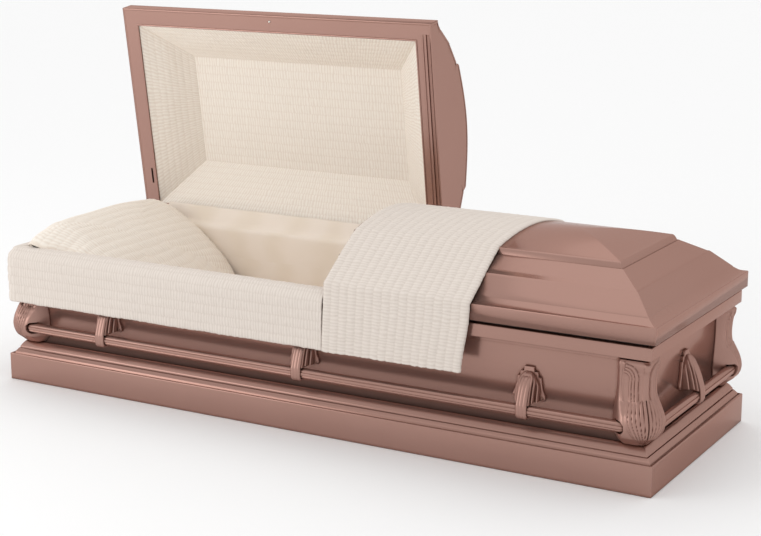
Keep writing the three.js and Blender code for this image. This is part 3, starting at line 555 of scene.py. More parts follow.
def lid_shell(body):
    """The three-sided stamped shell of one lid, open at the split."""
    split = SPLIT[body]
    corners = (1, 2) if body == "foot_lid" else (3, 0)
    rows = []
    for inset, height in LID_PROFILE:
        spots = ring_stations(RIM, inset, LID_CORNER, 8, corners)
        spots = [(split, spots[0][1]), *spots, (split, spots[-1][1])]
        rows.append([(*spot, RIM_BOTTOM + height) for spot in spots])
    bm = bmesh.new()
    grid(bm, len(rows[0]) - 1, len(rows) - 1, lambda i, j: rows[j][i])
    gauge = {"closed": False, "wall": SHEET, "crease": LID_CREASE, "merge": 2e-6}
    add_piece(f"{body}_stamped_shell", bm, body, STEEL, (f"{body}_shell",), **gauge)


# The split panel's turned edge, as (depth, distance in from the outline), and the height it narrows to
PANEL_STEPS = ((0.6, 0.0), (0.0, 0.7), (0.0, 8.0), (1.2, 9.5), (1.2, 40.0))
PANEL_MIDDLE = RIM_BOTTOM + 90


def lid_end_panel(body):
    """The flat plate that closes a lid at the split, with a turned edge along the shell."""
    inward = -1 if body == "head_lid" else 1
    x = SPLIT[body] + inward * GAP
    spots = [(inset, height) for inset, height in LID_PROFILE if inset >= 1.5]
    spots = [(1.6, 1.3), (1.6, RIM_HEIGHT - 3), *spots]
    half = [(inset - RIM[1], height) for inset, height in spots]
    outline = half + [(-y, height) for y, height in reversed(half[:-1])]
    sections = []
    for depth, less in PANEL_STEPS:
        scale = 1 - less / RIM[1]
        section = []
        for y, height in outline:
            up = mix(PANEL_MIDDLE, RIM_BOTTOM + height - 1.5, scale)
            section.append((x + inward * depth, y * scale, up))
        sections.append(section)
    sections.insert(0, [(x + inward * 2, y, z) for _, y, z in sections[0]])
    bm = bmesh.new()
    loft(bm, sections)
    add_piece(f"{body}_split_panel", bm, body, STEEL, (f"{body}_end_panel",))


for lid in ("head_lid", "foot_lid"):
    lid_shell(lid)
    lid_end_panel(lid)


# Head lid frame trims: a rolled hem round the rim and a lip round the lined opening
FRAME_BOTTOM = RIM_BOTTOM + GAP
OPENING = (RIM[0] - 1.5 - FRAME_WIDTH, RIM[1] - 1.5 - FRAME_WIDTH)
HEAD_OPENING_END = SPLIT["head_lid"] - FRAME_WIDTH


def round_profile(across, up, half_width, half_height):
    turns = [math.pi / 5 * k for k in range(11)]
    return [(across - half_width * math.cos(turn), up + half_height * math.sin(turn)) for turn in turns]


TRIMS = (
    ("lid_opening_lip", OPENING, HEAD_OPENING_END, round_profile(-2.4, FRAME_BOTTOM - 0.6, 2.6, 1.9), 1.0),
    ("lid_rim_hem", RIM, SPLIT["head_lid"], round_profile(4.5, FRAME_BOTTOM, 3.2, 1.1), 2.0),
)
for name, half, end, profile, radius in TRIMS:
    bm = bmesh.new()
    ring(bm, ((end + half[0]) / 2, half[1]), profile, radius, (end - half[0]) / 2)
    add_piece(name, bm, "head_lid", STEEL)

# Seal channel along the head lid's split: a bead, a deep groove, a thin lip and a second groove, with
# oblique ends. The section is (x, height) from the bead round to its back.
SEAL_SECTION = (
    (58.0, 402.9),
    (58.6, 399.0),
    (61.0, 398.8),
    (62.6, 402.3),
    (70.4, 402.8),
    (71.2, 406.6),
    (81.6, 406.6),
    (82.0, 400.0),
    (83.2, 399.0),
    (84.4, 400.0),
    (84.8, 405.0),
    (86.8, 405.0),
    (87.2, 403.0),
    (87.3, 411.2),
    (70.1, 411.2),
    (70.0, 403.0),
)
SEAL_HALF = 328.4
SEAL_SLOPE = 0.9
seal_flat = [(x, -SEAL_HALF, max(z, FRAME_BOTTOM - 0.1)) for x, z in SEAL_SECTION]
seal_full = [(x, (x - SEAL_SECTION[0][0]) * SEAL_SLOPE + 2 - SEAL_HALF, z) for x, z in SEAL_SECTION]
seal_back = [[(x, -y, z) for x, y, z in section] for section in (seal_full, seal_flat)]
bm = bmesh.new()
loft(bm, [seal_flat, seal_full, *seal_back])
add_piece("split_seal_channel", bm, "head_lid", STEEL, ("head_lid_seal_channel",), crease=math.radians(25))

# Latch keeper: a turned button under the middle of the front rail
BUTTON = ((0, -3.2), (1.6, -3.0), (3.2, -2.2), (4.2, -0.9), (4.5, 0.0), (4.5, 0.4))
KEEPER_INSET = 21.5
bm = bmesh.new()
spine = [bm.verts.new(Vector((radius, 0, z)) * MM) for radius, z in BUTTON]
edges = [bm.edges.new(pair) for pair in zip(spine, spine[1:])]
bmesh.ops.spin(
    bm, geom=spine + edges, cent=(0, 0, 0), axis=(0, 0, 1), angle=2 * math.pi, steps=24, use_merge=True
)
keeper_at = Vector(((SPLIT["head_lid"] - RIM[0]) / 2, KEEPER_INSET - RIM[1], RIM_BOTTOM))
bmesh.ops.translate(bm, verts=bm.verts, vec=keeper_at * MM)
add_piece("latch_keeper_button", bm, "head_lid", NICKEL, ("head_lid_keeper",), merge=2e-5)


# Handles
def on_side(side, along, out, up):
    """A point beside the wall: along it from its middle, out from it, and up."""
    if side == "front":
        return (along, -(WALL[1] + out), up)
    if side == "rear":
        return (-along, WALL[1] + out, up)
    if side == "foot_end":
        return (WALL[0] + out, along, up)
    return (-(WALL[0] + out), -along, up)


# The bar's grooves as (angle, depth, spread in degrees), and its rounded end as (distance in, share of size)
BAR_GROOVES = ((22, 2.0, 6), (-24, 2.4, 7))
BAR_END = ((0.01, 0.3), (0.4, 0.55), (2.2, 0.78), (5.5, 0.93), (11.0, 1.0))


def bar_outline():
    """(outward, up) points of the bar, round with two rolled grooves on its outer face."""
    made = []
    for angle in range(-180, 180, 5):
        cut = sum(depth * math.exp(-(((angle - at) / width) ** 2) * 2) for at, depth, width in BAR_GROOVES)
        flat = 0.9 * math.cos(math.radians(angle)) ** 8 if abs(angle) < 90 else 0
        reach = BAR_RADIUS - cut - flat
        made.append((reach * math.cos(math.radians(angle)), reach * math.sin(math.radians(angle))))
    return made


for side in SIDES:
    low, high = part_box(f"handle_bar_{side}")
    half = max(high.x - low.x, high.y - low.y) / 2 / MM
    stations = [(less - half, size) for less, size in BAR_END]
    stations += [(-along, size) for along, size in reversed(stations)]
    sections = []
    for along, size in stations:
        outline = [(BAR_STANDOFF + out * size, BAR_HEIGHT + up * size) for out, up in bar_outline()]
        sections.append([on_side(side, along, out, up) for out, up in outline])
    bm = bmesh.new()
    loft(bm, sections)
    add_piece(f"bar_{side}", bm, "casket", STEEL, (f"handle_bar_{side}",))

# Corner castings, drawn from stations: height, how far the face stands out, corner radius, where the face
# ends, and where it meets the wall
CASTING = (
    (124, 20, 30, 30, 52),
    (134, 31, 45, 29, 62),
    (148, 48, 62, 26, 71),
    (176, 59, 76, 23, 75),
    (204, 53, 66, 27, 74),
    (226, 39, 40, 38, 71),
    (246, 27, 20, 46, 68),
    (278, 23, 15, 48, 65),
    (318, 26, 15, 48, 65),
    (340, 31, 16, 47, 65),
    (349, 27, 16, 46, 64),
)
LEG_STEPS = 12
CASTING_FOOT, CASTING_TOP = CASTING[0][0], CASTING[-1][0]
CASTING_ROWS = 124
CASTING_COLUMNS = 148
CASTING_EDGE = 3.0
CASTING_BACK = 340
CAP_REACH, CAP_RISE = 20, 3
SOCKET_END = -41.5
SOCKET_RADIUS = 17.2
SOCKET_FLOOR = 33.0


def casting_outline(height):
    """Half of the casting's plan at a height, as (along, away) points from the wall to its middle."""
    out, radius, face, foot = (through([(row[0], row[k]) for row in CASTING], height) for k in range(1, 5))
    leg = []
    for step in range(LEG_STEPS + 1):
        t = step / LEG_STEPS
        leg.append((-mix(foot, face, t), mix(CASTING_EDGE, out, swelling(t))))
    centre = out - radius
    for step in range(LEG_STEPS + 1):
        turn = math.pi / 4 * step / LEG_STEPS
        leg.append((centre + radius * math.sin(turn), centre + radius * math.cos(turn)))
    return leg


POST_RIBS = ((14, 22, 1.8), (22, 31, 3.0), (31, 40.5, 4.4))
POST_ARCH = (60, 300)
POST_BOTTOM = 250
KNOT = 326
FEATHERS = 6
FEATHER_REACH = 64
FEATHER_FAN = ((124, 0.06), (134, 0.26), (150, 0.58), (172, 0.88), (196, 1.0), (226, 0.92), (256, 0.7))


def casting_relief(from_corner, height):
    """How far the ornament stands out at a distance along the face from the corner's middle: nested ribs
    with arched tops and a beaded corner above, and feathers that sweep down to the foot below."""
    centre, spring = POST_ARCH
    reach = centre - from_corner
    if height > spring:
        reach = math.hypot(max(reach, 0), height - spring)
    post = 0.0
    for near, far, step in POST_RIBS:
        if near < reach <= far:
            post = step + 3.6 * bead((reach - near) / (far - near)) - 2.6
    if from_corner > centre:
        post = 2.2 * bead((from_corner - centre) / 6)
    if from_corner < 8.5:
        cords = bead(abs(from_corner - 1) / 3.6 % 1)
        leaf = 2.5 * math.exp(-(((height - KNOT) / 11) ** 2) * 2)
        post = (2.4 + leaf) * bead(0.5 + from_corner / 17) + 0.9 * cords
    post *= ease((346 - height) / 5)
    share = from_corner / (FEATHER_REACH * through(FEATHER_FAN, height))
    feathers = 0.0
    if share < 1:
        phase = share * FEATHERS
        feathers = (5.6 - 1.8 * share) * bead(phase - math.floor(phase)) * ease((1 - share) * 6)
    tips = POST_BOTTOM - 7 * abs(math.sin(from_corner / 10.6 * math.pi)) - 0.1 * from_corner
    return mix(feathers, post, ease((height - tips + 3) / 5))


def casting(corner):
    """One corner's casting: its plan at each height, with the ornament laid on and a socket for each bar."""
    sign_x, sign_y = corner
    half = CASTING_COLUMNS // 2
    heights = [mix(CASTING_FOOT, CASTING_TOP, j / CASTING_ROWS) for j in range(CASTING_ROWS + 1)]
    base = []
    for height in heights:
        leg = spaced(casting_outline(height), half)
        mirrored = [(away, along, left) for along, away, left in reversed(leg[:-1])]
        base.append(leg + mirrored)
    sections = []
    for j, height in enumerate(heights):
        section = []
        for i, (along, away, left) in enumerate(base[j]):
            normal = facing(base[j], i)
            lift = casting_relief(left, height)
            spot = [along + normal.x * lift, away + normal.y * lift]
            for near, far in ((0, 1), (1, 0)):
                rim = math.hypot(max(spot[near] - SOCKET_END, 0), height - BAR_HEIGHT)
                if rim < SOCKET_RADIUS:
                    spot[far] = min(spot[far], SOCKET_FLOOR)
            section.append((*spot, height))
        foot = base[j][0][0]
        back = min(height, CASTING_BACK)
        section += [(GAP, foot, height), (GAP, GAP, back), (foot, GAP, back)]
        sections.append([(sign_x * (WALL[0] + a), sign_y * (WALL[1] + b), z) for a, b, z in section])
    edge = sections[-1]
    inner_x, inner_y = sign_x * (WALL[0] - CAP_REACH), sign_y * (WALL[1] - CAP_REACH)
    for t in (0.05, 0.2):
        up = CASTING_TOP + CAP_RISE * t
        sections.append([(mix(x, inner_x, t), mix(y, inner_y, t), up) for x, y, _ in edge])
    bm = bmesh.new()
    loft(bm, sections)
    return bm


CORNER_NAMES = {"front_head": (-1, -1), "front_foot": (1, -1), "rear_foot": (1, 1), "rear_head": (-1, 1)}
for name, signs in CORNER_NAMES.items():
    stands_for = (f"corner_casting_{name}",)
    bm = casting(signs)
    add_piece(f"corner_ornament_{name}", bm, "casket", CAST, stands_for, crease=math.radians(50))

# Arms: a stepped back plate, curved ribs, a fluted strap over the bar with a hook under it, and two scrolls
ARM_FOOT = 197.0
ARM_HALF = ((46, 197), (48, 203), (45, 213), (39.5, 224), (36.5, 240))
PLATE_LAYERS = ((1, 0.4), (1, 6.6), (0.95, 8.4))
PLATE_MIDDLE = 235
# Each tongue's half width, how far its top is under the arm's, its foot, and how far it stands out
TONGUES = ((33.5, 22, ARM_FOOT, 28), (25.5, 14, ARM_FOOT, 41), (19, 10, BAR_HEIGHT + 17, 50))
TONGUE_CURVE = 2.4
TONGUE_LIP = 6.0
LIP_RISE = 3.2
OFF_WALL = 0.4
STRAP_REACH = 59.0
STRAP_HALF = 15.5
STRAP_DEPTH = 5.5
FLUTES = 3


def tongue(bm, side, middle, half, top, bottom, reach):
    """A leaf of the arm: arched above, standing out from the wall to its foot, with a raised round lip."""
    levels, columns = 26, 22
    sections = []
    for level in range(levels + 1):
        up = mix(top, bottom, swelling(level / levels) ** 1.6)
        out = 1.5 + reach * (max(top - up, 0) / (top - bottom)) ** (1 / TONGUE_CURVE)
        arch = min(1, (top - up) / (half * 1.1))
        width = max(half * math.sqrt(1 - (1 - arch) ** 2), 0.6)
        lip = min(TONGUE_LIP, width * 0.45)
        section = []
        for column in range(columns + 1):
            across = -width * math.cos(math.pi * column / columns)
            edge = width - abs(across)
            rise = bead(edge / lip) if edge < lip else 0
            if edge >= lip / 2:
                rise = max(rise, 0.35)
            height = out - LIP_RISE * (1 - rise) if out > 4 else out * (0.4 + 0.6 * rise)
            section.append((across, height))
        section += [(width, 0), (0, 0), (-width, 0)]
        sections.append([on_side(side, middle + across, max(a, OFF_WALL), up) for across, a in section])
    loft(bm, sections)


def strap(bm, side, middle, top):
    """The fluted strap that comes down over the bar and hooks under it."""
    head = top - 10
    fall = head - (BAR_HEIGHT + 14)
    outs = [1.5 + (STRAP_REACH - 2) * swelling(k / 18) for k in range(19)]
    path = [(out, head - fall * (out / STRAP_REACH) ** 2.6) for out in outs]
    hook = ((0, 6), (0, -8), (2.5, -15), (8, -20), (16, -21), (24, -20))
    path += [(STRAP_REACH - back, BAR_HEIGHT + up) for back, up in hook]
    sections = []
    for k, (out, up) in enumerate(path):
        normal = facing(path, k)
        half = STRAP_HALF * math.sqrt(1 - (1 - min(1, (k + 0.3) / 5)) ** 2)
        section = []
        for step in range(25):
            t = step / 12 - 1
            flute = 0.9 * bead((t + 1) * FLUTES / 2 % 1) if abs(t) < 1 else 0
            crown = (flute - 2.2 * abs(t) ** 6) * min(1, k / 4)
            section.append((out + normal.x * crown, up + normal.y * crown, t * half))
        for t in (1, 0, -1):
            section.append((out - normal.x * STRAP_DEPTH, up - normal.y * STRAP_DEPTH, t * half))
        sections.append([on_side(side, middle + across, max(a, OFF_WALL), b) for a, b, across in section])
    loft(bm, sections)


# The scroll's middle, its radius and thickness from its outer end to its inner one, and its number of steps
SCROLL_AT = (40, 204)
SCROLL_RADIUS = (8.0, 1.4)
SCROLL_WIRE = (2.6, 2.0)
SCROLL_OUT = (5.5, 8.5)
SCROLL_STEPS = 28


def scroll(bm, side, middle, sign):
    """A small curl of wire thickness at the plate's lower corner."""
    sections = []
    for k in range(SCROLL_STEPS + 1):
        t = k / SCROLL_STEPS
        turn = math.radians(200 + 18 * k)
        wire = mix(*SCROLL_WIRE, t)
        section = []
        for step in range(8):
            angle = math.pi / 4 * step
            radius = mix(*SCROLL_RADIUS, t) + wire * math.cos(angle)
            along = middle + sign * (SCROLL_AT[0] + radius * math.cos(turn))
            up = SCROLL_AT[1] + radius * math.sin(turn)
            section.append(on_side(side, along, mix(*SCROLL_OUT, t) + wire * math.sin(angle), up))
        sections.append(section)
    loft(bm, sections)


def arm(side, middle, top):
    """One whole arm at a place along its side, with its top at this height."""
    bm = bmesh.new()
    steps_up = ((34.5, 27), (26.5, 26), (25, 13), (15.5, 12.5), (14, 0))
    half = [*ARM_HALF, *((across, top - down) for across, down in steps_up)]
    outline = half + [(-across, up) for across, up in reversed(half)]
    layers = []
    for size, out in PLATE_LAYERS:
        spots = [(middle + across * size, mix(PLATE_MIDDLE, up, size)) for across, up in outline]
        layers.append([on_side(side, along, out, up) for along, up in spots])
    loft(bm, layers)
    for half_width, drop, foot, reach in TONGUES:
        tongue(bm, side, middle, half_width, top - drop, foot, reach)
    strap(bm, side, middle, top - 7)
    for sign in (-1, 1):
        scroll(bm, side, middle, sign)
    return bm


ARM_SPACING = 700
SIDE_ARM_TOP = 286
END_ARM_TOP = 297
arm_places = []
for side in ("front", "rear"):
    for k in range(3):
        arm_places.append((f"handle_arm_{side}_{k + 1}", side, (k - 1) * ARM_SPACING, SIDE_ARM_TOP))
for side in ("foot_end", "head_end"):
    arm_places.append((f"handle_arm_{side}", side, 0, END_ARM_TOP))
for name, side, middle, top in arm_places:
    add_piece(f"{name}_ornament", arm(side, middle, top), "casket", CAST, (name,))


# Soft goods. Loose cloth is an open sheet with no creases, thickened by its wall.
LOOSE_CLOTH = {"closed": False, "crease": math.pi}
PUFF_STEPS = 6
BACKING = 3.0
PANEL_BULGE = 3.0


def channels(length, pitch):
    """How many stitched channels a length takes, and their true pitch."""
    count = max(1, round(length / pitch))
    return count, length / count


def quilted(along, across, pitch, puff, pucker, seed):
    """Height of stitched crepe: channels puffed between stitch lines, with short puckers across each."""
    row = math.floor(across / pitch)
    inside = across / pitch - row
    ridge = math.sin(math.pi * inside) ** 0.6 if inside > 0 else 0.0
    fine = wander(along / 5.2, row * 5.3 + inside * 0.6, seed)
    broad = wander(along / 14, row * 3.1 + inside * 0.4, seed + 1)
    return puff * ridge + pucker * (0.3 + 0.7 * ridge) * (fine + 0.6 * broad)


def back_up(bm, away):
    """Closes a sheet with a flat back."""
    bmesh.ops.translate(bm, verts=grow_border(bm), vec=away * BACKING * MM)
    close_holes(bm)


# Apron: over the ledge along the front and round the head end
APRON_SECTION = ((20, 256), (20.5, 330), (20, 398), (-2, 423), (-38, 424), (-60, 404), (-60, 310))
APRON_PATH = fillet(APRON_SECTION, (60, 30, 13, 16, 22), 7)
APRON_PITCH = 28.0
APRON_CORNER = 26.0
APRON_END = 90.1
APRON_FRONT = APRON_END + LEDGE[0] - APRON_CORNER
APRON_ARC = APRON_CORNER * math.pi / 2
APRON_LENGTH = APRON_FRONT + APRON_ARC + LEDGE[1] - APRON_CORNER + WALL[1] - 24
APRON_CELL = 3.2
APRON_TIGHTEST = 2 - APRON_CORNER


def apron_spot(run, out):
    """Where the apron is at a distance along it from the split, standing out from the ledge by that much."""
    if run < APRON_FRONT:
        return Vector((APRON_END - run, -(LEDGE[1] + out), 0))
    turn = min((run - APRON_FRONT) / APRON_ARC, 1) * math.pi / 2
    direction = Vector((-math.sin(turn), -math.cos(turn), 0))
    shift = APRON_CORNER + APRON_TIGHTEST - min(out, APRON_TIGHTEST)
    centre = Vector((shift - LEDGE[0], shift - LEDGE[1], 0))
    spot = centre + direction * (APRON_CORNER + max(out, APRON_TIGHTEST))
    return spot + Vector((0, max(run - APRON_FRONT - APRON_ARC, 0), 0))


def apron():
    total = spaced(APRON_PATH, 1)[0][2]
    count, pitch = channels(total, APRON_PITCH)
    rows = count * PUFF_STEPS
    path = walk(APRON_PATH, rows)
    columns = round(APRON_LENGTH / APRON_CELL)

    def place(i, j):
        run = APRON_LENGTH * (1 - i / columns)
        out, up, walked = path[j]
        normal = -facing(path, j)
        puff = quilted(run, walked, pitch, 1.6, 1.1, 2) - 0.8
        puff += 2.4 * wander(run / 170, walked / 90, 5)
        fold = ease(1 - walked / 40)
        puff += fold * 1.4 * wander(run / 22, 0, 8)
        hem = fold * (1.6 * wander(run / 11, 3, 9) + 2.4 * wander(run / 70, 4, 9))
        spot = apron_spot(run, out + normal.x * puff)
        return spot.x, spot.y, up + normal.y * puff + hem

    bm = bmesh.new()
    grid(bm, columns, rows, place, lambda i, j: (APRON_LENGTH * (1 - i / columns) * MM, j / PUFF_STEPS))
    piece = add_piece("apron_crepe", bm, "casket", CREPE, ("apron",), wall=3, **LOOSE_CLOTH)
    return piece


apron_piece = apron()

# Pillow: a crowned wedge that leans on the head end, its front corner lying on the apron's roll. The curves
# give its seam's height, its reach to the front and the rear, and how far its front seam drops, all by x.
PILLOW_X = (-1044.0, -592.0)
PILLOW_RIDGE = (
    (-1044, 419),
    (-1010, 432),
    (-980, 450),
    (-950, 446),
    (-890, 424),
    (-802, 374),
    (-710, 306),
    (-630, 236),
    (-592, 228),
)
PILLOW_FRONT = ((-1044, 362), (-970, 338), (-910, 308), (-860, 292), (-592, 286))
PILLOW_FRONT_DROP = ((-1044, 0), (-1000, 8), (-970, 21), (-935, 22), (-890, 18), (-840, 8), (-592, 0))
PILLOW_REAR = ((-1044, 284), (-965, 296), (-900, 298), (-592, 290))
PILLOW_PITCH = 27.0
PILLOW_SLANT = 465.0
PILLOW_HALF_COLUMNS = 190
PILLOW_WIDTH = 620
PILLOW_BACK = (-984, -290, 288)


def rounded(value, corner):
    """1 in the middle of a face and 0 at its edges, falling steeply near them; value runs from -1 to 1."""
    return max(0.0, 1 - abs(value) ** corner) ** 0.5


def pillow():
    """A closed skin: its first half of columns is the face, its other half the back that rests on the bed."""
    count, pitch = channels(PILLOW_SLANT, PILLOW_PITCH)
    rows = count * PUFF_STEPS
    half = PILLOW_HALF_COLUMNS

    def across(i):
        """0 at the front seam and 1 at the rear one, on the face and the back alike."""
        return (1 - math.cos(math.pi * min(i, 2 * half - i) / half)) / 2

    def place(i, j):
        s = j / rows
        a, b = 2 * s - 1, 2 * across(i) - 1
        corner = max(abs(a), abs(b), 1e-6) / max((abs(a) ** 5 + abs(b) ** 5) ** 0.2, 1e-6)
        x = mix(PILLOW_X[0], PILLOW_X[1], (a * corner + 1) / 2)
        y = mix(-through(PILLOW_FRONT, x), through(PILLOW_REAR, x), (b * corner + 1) / 2)
        seam = through(PILLOW_RIDGE, x) - through(PILLOW_FRONT_DROP, x) * ease((-b - 0.7) * 4)
        swell = rounded(b, 8) * rounded(a, 9)
        if i <= half:
            lift = mix(48, 26, s) * swell
            lift += quilted(y, s * PILLOW_SLANT, pitch, 1.8, 0.9, 21) * min(1, swell * 2)
            lift += 5 * wander(y / 130, s * 4, 22) * swell
            return x + lift * 0.3, y, seam + lift * 0.9
        from_seam = min(1 - abs(a), 1 - abs(b))
        inner = ease(from_seam * 12)
        least_x, least_y, most_y = PILLOW_BACK
        x = max(x, mix(x, least_x, inner))
        y = min(max(y, mix(y, least_y, inner)), mix(y, most_y, inner))
        return x, y, mix(seam - 2, min(BED_TOP + 1.5, seam), ease(from_seam * 9 - 0.6))

    bm = bmesh.new()
    made = grid(bm, 2 * half, rows, place, lambda i, j: (across(i) * PILLOW_WIDTH * MM, j / PUFF_STEPS))
    bmesh.ops.remove_doubles(bm, verts=made, dist=1e-5)
    close_holes(bm)
    return add_piece("pillow_crepe", bm, "casket", CREPE_LIGHTENED_FOR_SHADE, ("pillow",), crease=math.pi)


pillow_piece = pillow()

# Throw: quilted crepe over the foot lid from the split, with a flap down the front. Its right edge is x by y.
THROW_PITCH = 28.0
THROW_CHANNELS = 17
THROW_WIDTH = THROW_CHANNELS * THROW_PITCH
THROW_ROWS = 360
THROW_RIGHT = (
    (-380, 540),
    (-364, 548),
    (-202, 548),
    (-112, 555),
    (-18, 565),
    (45, 569),
    (120, 572),
    (330, 560),
)
THROW_LEFT = 93.4
THROW_CORE = 4.0
THROW_HEM = 257.0


def throw_path():
    """(y, z) points over the foot lid from the flap's hem in front to its rear edge, bridging the hollows."""
    rim = RIM[1] + THROW_CORE
    spots = [(87, 110.7), (169, 164)]
    spots += [(mix(170, RIM[1], k / 6), 164.7 + 32 * swelling(k / 6)) for k in range(1, 7)]
    front = [(inset - RIM[1], RIM_BOTTOM + height + THROW_CORE) for inset, height in spots]
    rear = [(-y, z) for y, z in reversed(front[:-1])] + [(RIM[1] - 36, RIM_BOTTOM + 64)]
    flap = [(-rim - 9, THROW_HEM), (-rim - 6, 360), (-rim - 1, RIM_BOTTOM + RIM_HEIGHT + THROW_CORE)]
    path = flap + front + rear
    return fillet(path, [120, 17, 90, 60] + [0] * (len(path) - 6), 8)


def throw():
    path = walk(throw_path(), THROW_ROWS)
    columns = THROW_CHANNELS * PUFF_STEPS

    def place(i, j):
        y, z, walked = path[j]
        normal = facing(path, j)
        flap = ease((190 - walked) / 190)
        right = through(THROW_RIGHT, y) - 16 * ease((150 - walked) / 150)
        share = i / columns
        along = share * THROW_WIDTH
        x = mix(THROW_LEFT, right, share)
        edge = min(share, 1 - share) * THROW_WIDTH
        puff = quilted(walked, along, THROW_PITCH, 2.6, 0.8, 31)
        puff += flap * (5.5 * wander(along / 80, walked / 240, 33) + 3)
        puff += 3.0 * (1 - (1 - ease(edge / 14)) ** 2) - 3.0
        side = 1 if share > 0.5 else -1
        x += side * (1 - ease(edge / 30)) * 1.2 * wander(walked / 12, 0, 35)
        scallop = 0.7 * abs(math.sin(math.pi * share * THROW_CHANNELS)) - 0.4
        hem = ease(1 - walked / 16) * (1.6 * wander(along / 6, 5, 36) + scallop)
        return x, y + normal.x * puff, z + normal.y * puff - hem

    bm = bmesh.new()
    grid(bm, columns, THROW_ROWS, place, lambda i, j: (path[j][2] * MM, i / PUFF_STEPS))
    piece = add_piece("throw_crepe", bm, "foot_lid", CREPE, ("throw",), wall=2.2, **LOOSE_CLOTH)


throw()


# Head lid lining: four gores stitched parallel to the opening's edges, and a deep cap panel
def patch(name, body, corners, pitch, seed, stands_for, material=CREPE_LIGHTENED_FOR_SHADE, cell=3.2, stitched=0.8):
    """A cloth panel between four corners, stitched in channels that run from its first corner to its second,
    and stretched over a backing on the piece that it lies on."""
    a, b, c, d = (Vector(corner) for corner in corners)
    width = ((b - a).length + (c - d).length) / 2
    height = ((d - a).length + (c - b).length) / 2
    count, pitch = channels(height, pitch)
    columns, rows = round(width / cell), max(count * PUFF_STEPS, 8)
    normal = (b - a).cross(d - a).normalized()

    def place(i, j):
        u, v = i / columns, j / rows
        spot = a.lerp(b, u).lerp(d.lerp(c, u), v)
        along = ((spot - a) @ (b - a)) / (b - a).length
        edge = min(u * width, (1 - u) * width, v * height, (1 - v) * height)
        lift = PANEL_BULGE * 16 * u * (1 - u) * v * (1 - v)
        lift += ease(edge / 6) * quilted(along, v * height, pitch, stitched, stitched, seed)
        lift += ease(edge / 40) * 2.5 * wander(along / 120, v * height / 70, seed + 3)
        return spot + normal * lift

    def uv(i, j):
        return i / columns * width * MM, j / rows * count

    bm = bmesh.new()
    grid(bm, columns, rows, place, uv)
    back_up(bm, -normal)
    piece = add_piece(name, bm, body, material, (stands_for,), crease=math.radians(70))


lining_foot = FRAME_BOTTOM + SHEET + 2


def corners_at(inset, height):
    """The opening's corners, drawn in by an inset, from the front at the head end and anticlockwise."""
    low_x, high_x, y = inset - OPENING[0], HEAD_OPENING_END - inset, OPENING[1] - inset
    return [Vector((*spot, height)) for spot in ((low_x, -y), (high_x, -y), (high_x, y), (low_x, y))]


rim_points = corners_at(0, lining_foot)
cap_points = corners_at(CAP_INSET, RIM_BOTTOM + CAP_HEIGHT)
lid_panels = []
for k, place_name in enumerate(("front", "split", "rear", "head")):
    after = (k + 1) % 4
    gore = (rim_points[after], rim_points[k], cap_points[k], cap_points[after])
    lid_panels.append((f"lid_gore_{place_name}_crepe", gore, 26.0, 40 + k, f"head_lid_gore_{place_name}"))
cap = (cap_points[1], cap_points[0], cap_points[3], cap_points[2])
lid_panels.append(("lid_cap_crepe", cap, 27.0, 50, "head_lid_cap_panel"))
for name, corners, pitch, seed, stands_for in lid_panels:
    patch(name, "head_lid", corners, pitch, seed, stands_for)

# Foot lid lining: a padded board that overlaps the frame's inside
BOARD_OVERLAP = 22
board_x, board_end = SPLIT["foot_lid"] + FRAME_WIDTH - BOARD_OVERLAP, OPENING[0] + BOARD_OVERLAP
board_y, board_up = OPENING[1] + BOARD_OVERLAP, lining_foot + 8
board_corners = [(board_end, -board_y), (board_x, -board_y), (board_x, board_y), (board_end, board_y)]
patch(
    "foot_lid_lining_cloth",
    "foot_lid",
    [(x, y, board_up) for x, y in board_corners],
    60.0,
    55,
    "foot_lid_lining",
    PLAIN,
    cell=8,
)

# Wall linings: smooth cloth tacked along the top and falling behind the bed
LINING_IN = 13.5
LINING_FOOT = 131.0
wall_x, wall_y = WALL[0] - LINING_IN, WALL[1] - LINING_IN
lining_corners = [(-wall_x, -wall_y), (wall_x, -wall_y), (wall_x, wall_y), (-wall_x, wall_y)]
for k, side in enumerate(SIDES):
    a, b = lining_corners[k], lining_corners[(k + 1) % 4]
    patch(
        f"wall_lining_{side}_cloth",
        "casket",
        ((*b, LINING_FOOT), (*a, LINING_FOOT), (*a, BODY_TOP - 1), (*b, BODY_TOP - 1)),
        400.0,
        60 + k,
        f"wall_lining_{side}",
        PLAIN,
        cell=11,
        stitched=0.0,
    )

# Hinge cover: cloth from behind the mattress up in front of the open lid's lower edge. A unit of v is as
# long as the plain band.
PLAIN_BAND = 100
COVER_PATH = fillet([(294.6, 206), (294.2, 402), (318, 411), (337, 459)], (14, 20), 6)
COVER_ROWS, COVER_COLUMNS = 40, 210
COVER_X = (-955, 62)
COVER_LENGTH = COVER_X[1] - COVER_X[0]


def hinge_cover():
    path = walk(COVER_PATH, COVER_ROWS)

    def place(i, j):
        y, z, walked = path[j]
        x = mix(*COVER_X, i / COVER_COLUMNS)
        ripple = ease((walked - 166) / 60) * 2.4 * wander(x / 60, walked / 60, 70)
        top = ease((walked - 231) / 25) * 2.2 * wander(x / 45, 2, 71)
        return x, y + ripple, z + top

    def uv(i, j):
        return i / COVER_COLUMNS * COVER_LENGTH * MM, path[j][2] / PLAIN_BAND

    bm = bmesh.new()
    grid(bm, COVER_COLUMNS, COVER_ROWS, place, uv)
    piece = add_piece("hinge_cover_cloth", bm, "casket", PLAIN, ("hinge_cover",), wall=1.5, **LOOSE_CLOTH)
    return piece


cover_piece = hinge_cover()

# Mattress: a boxed pad with a crowned top, soft edges and shallow tufts
TUFT_SPACING = 180
MATTRESS_CLOTH = (1.96, 5.6)


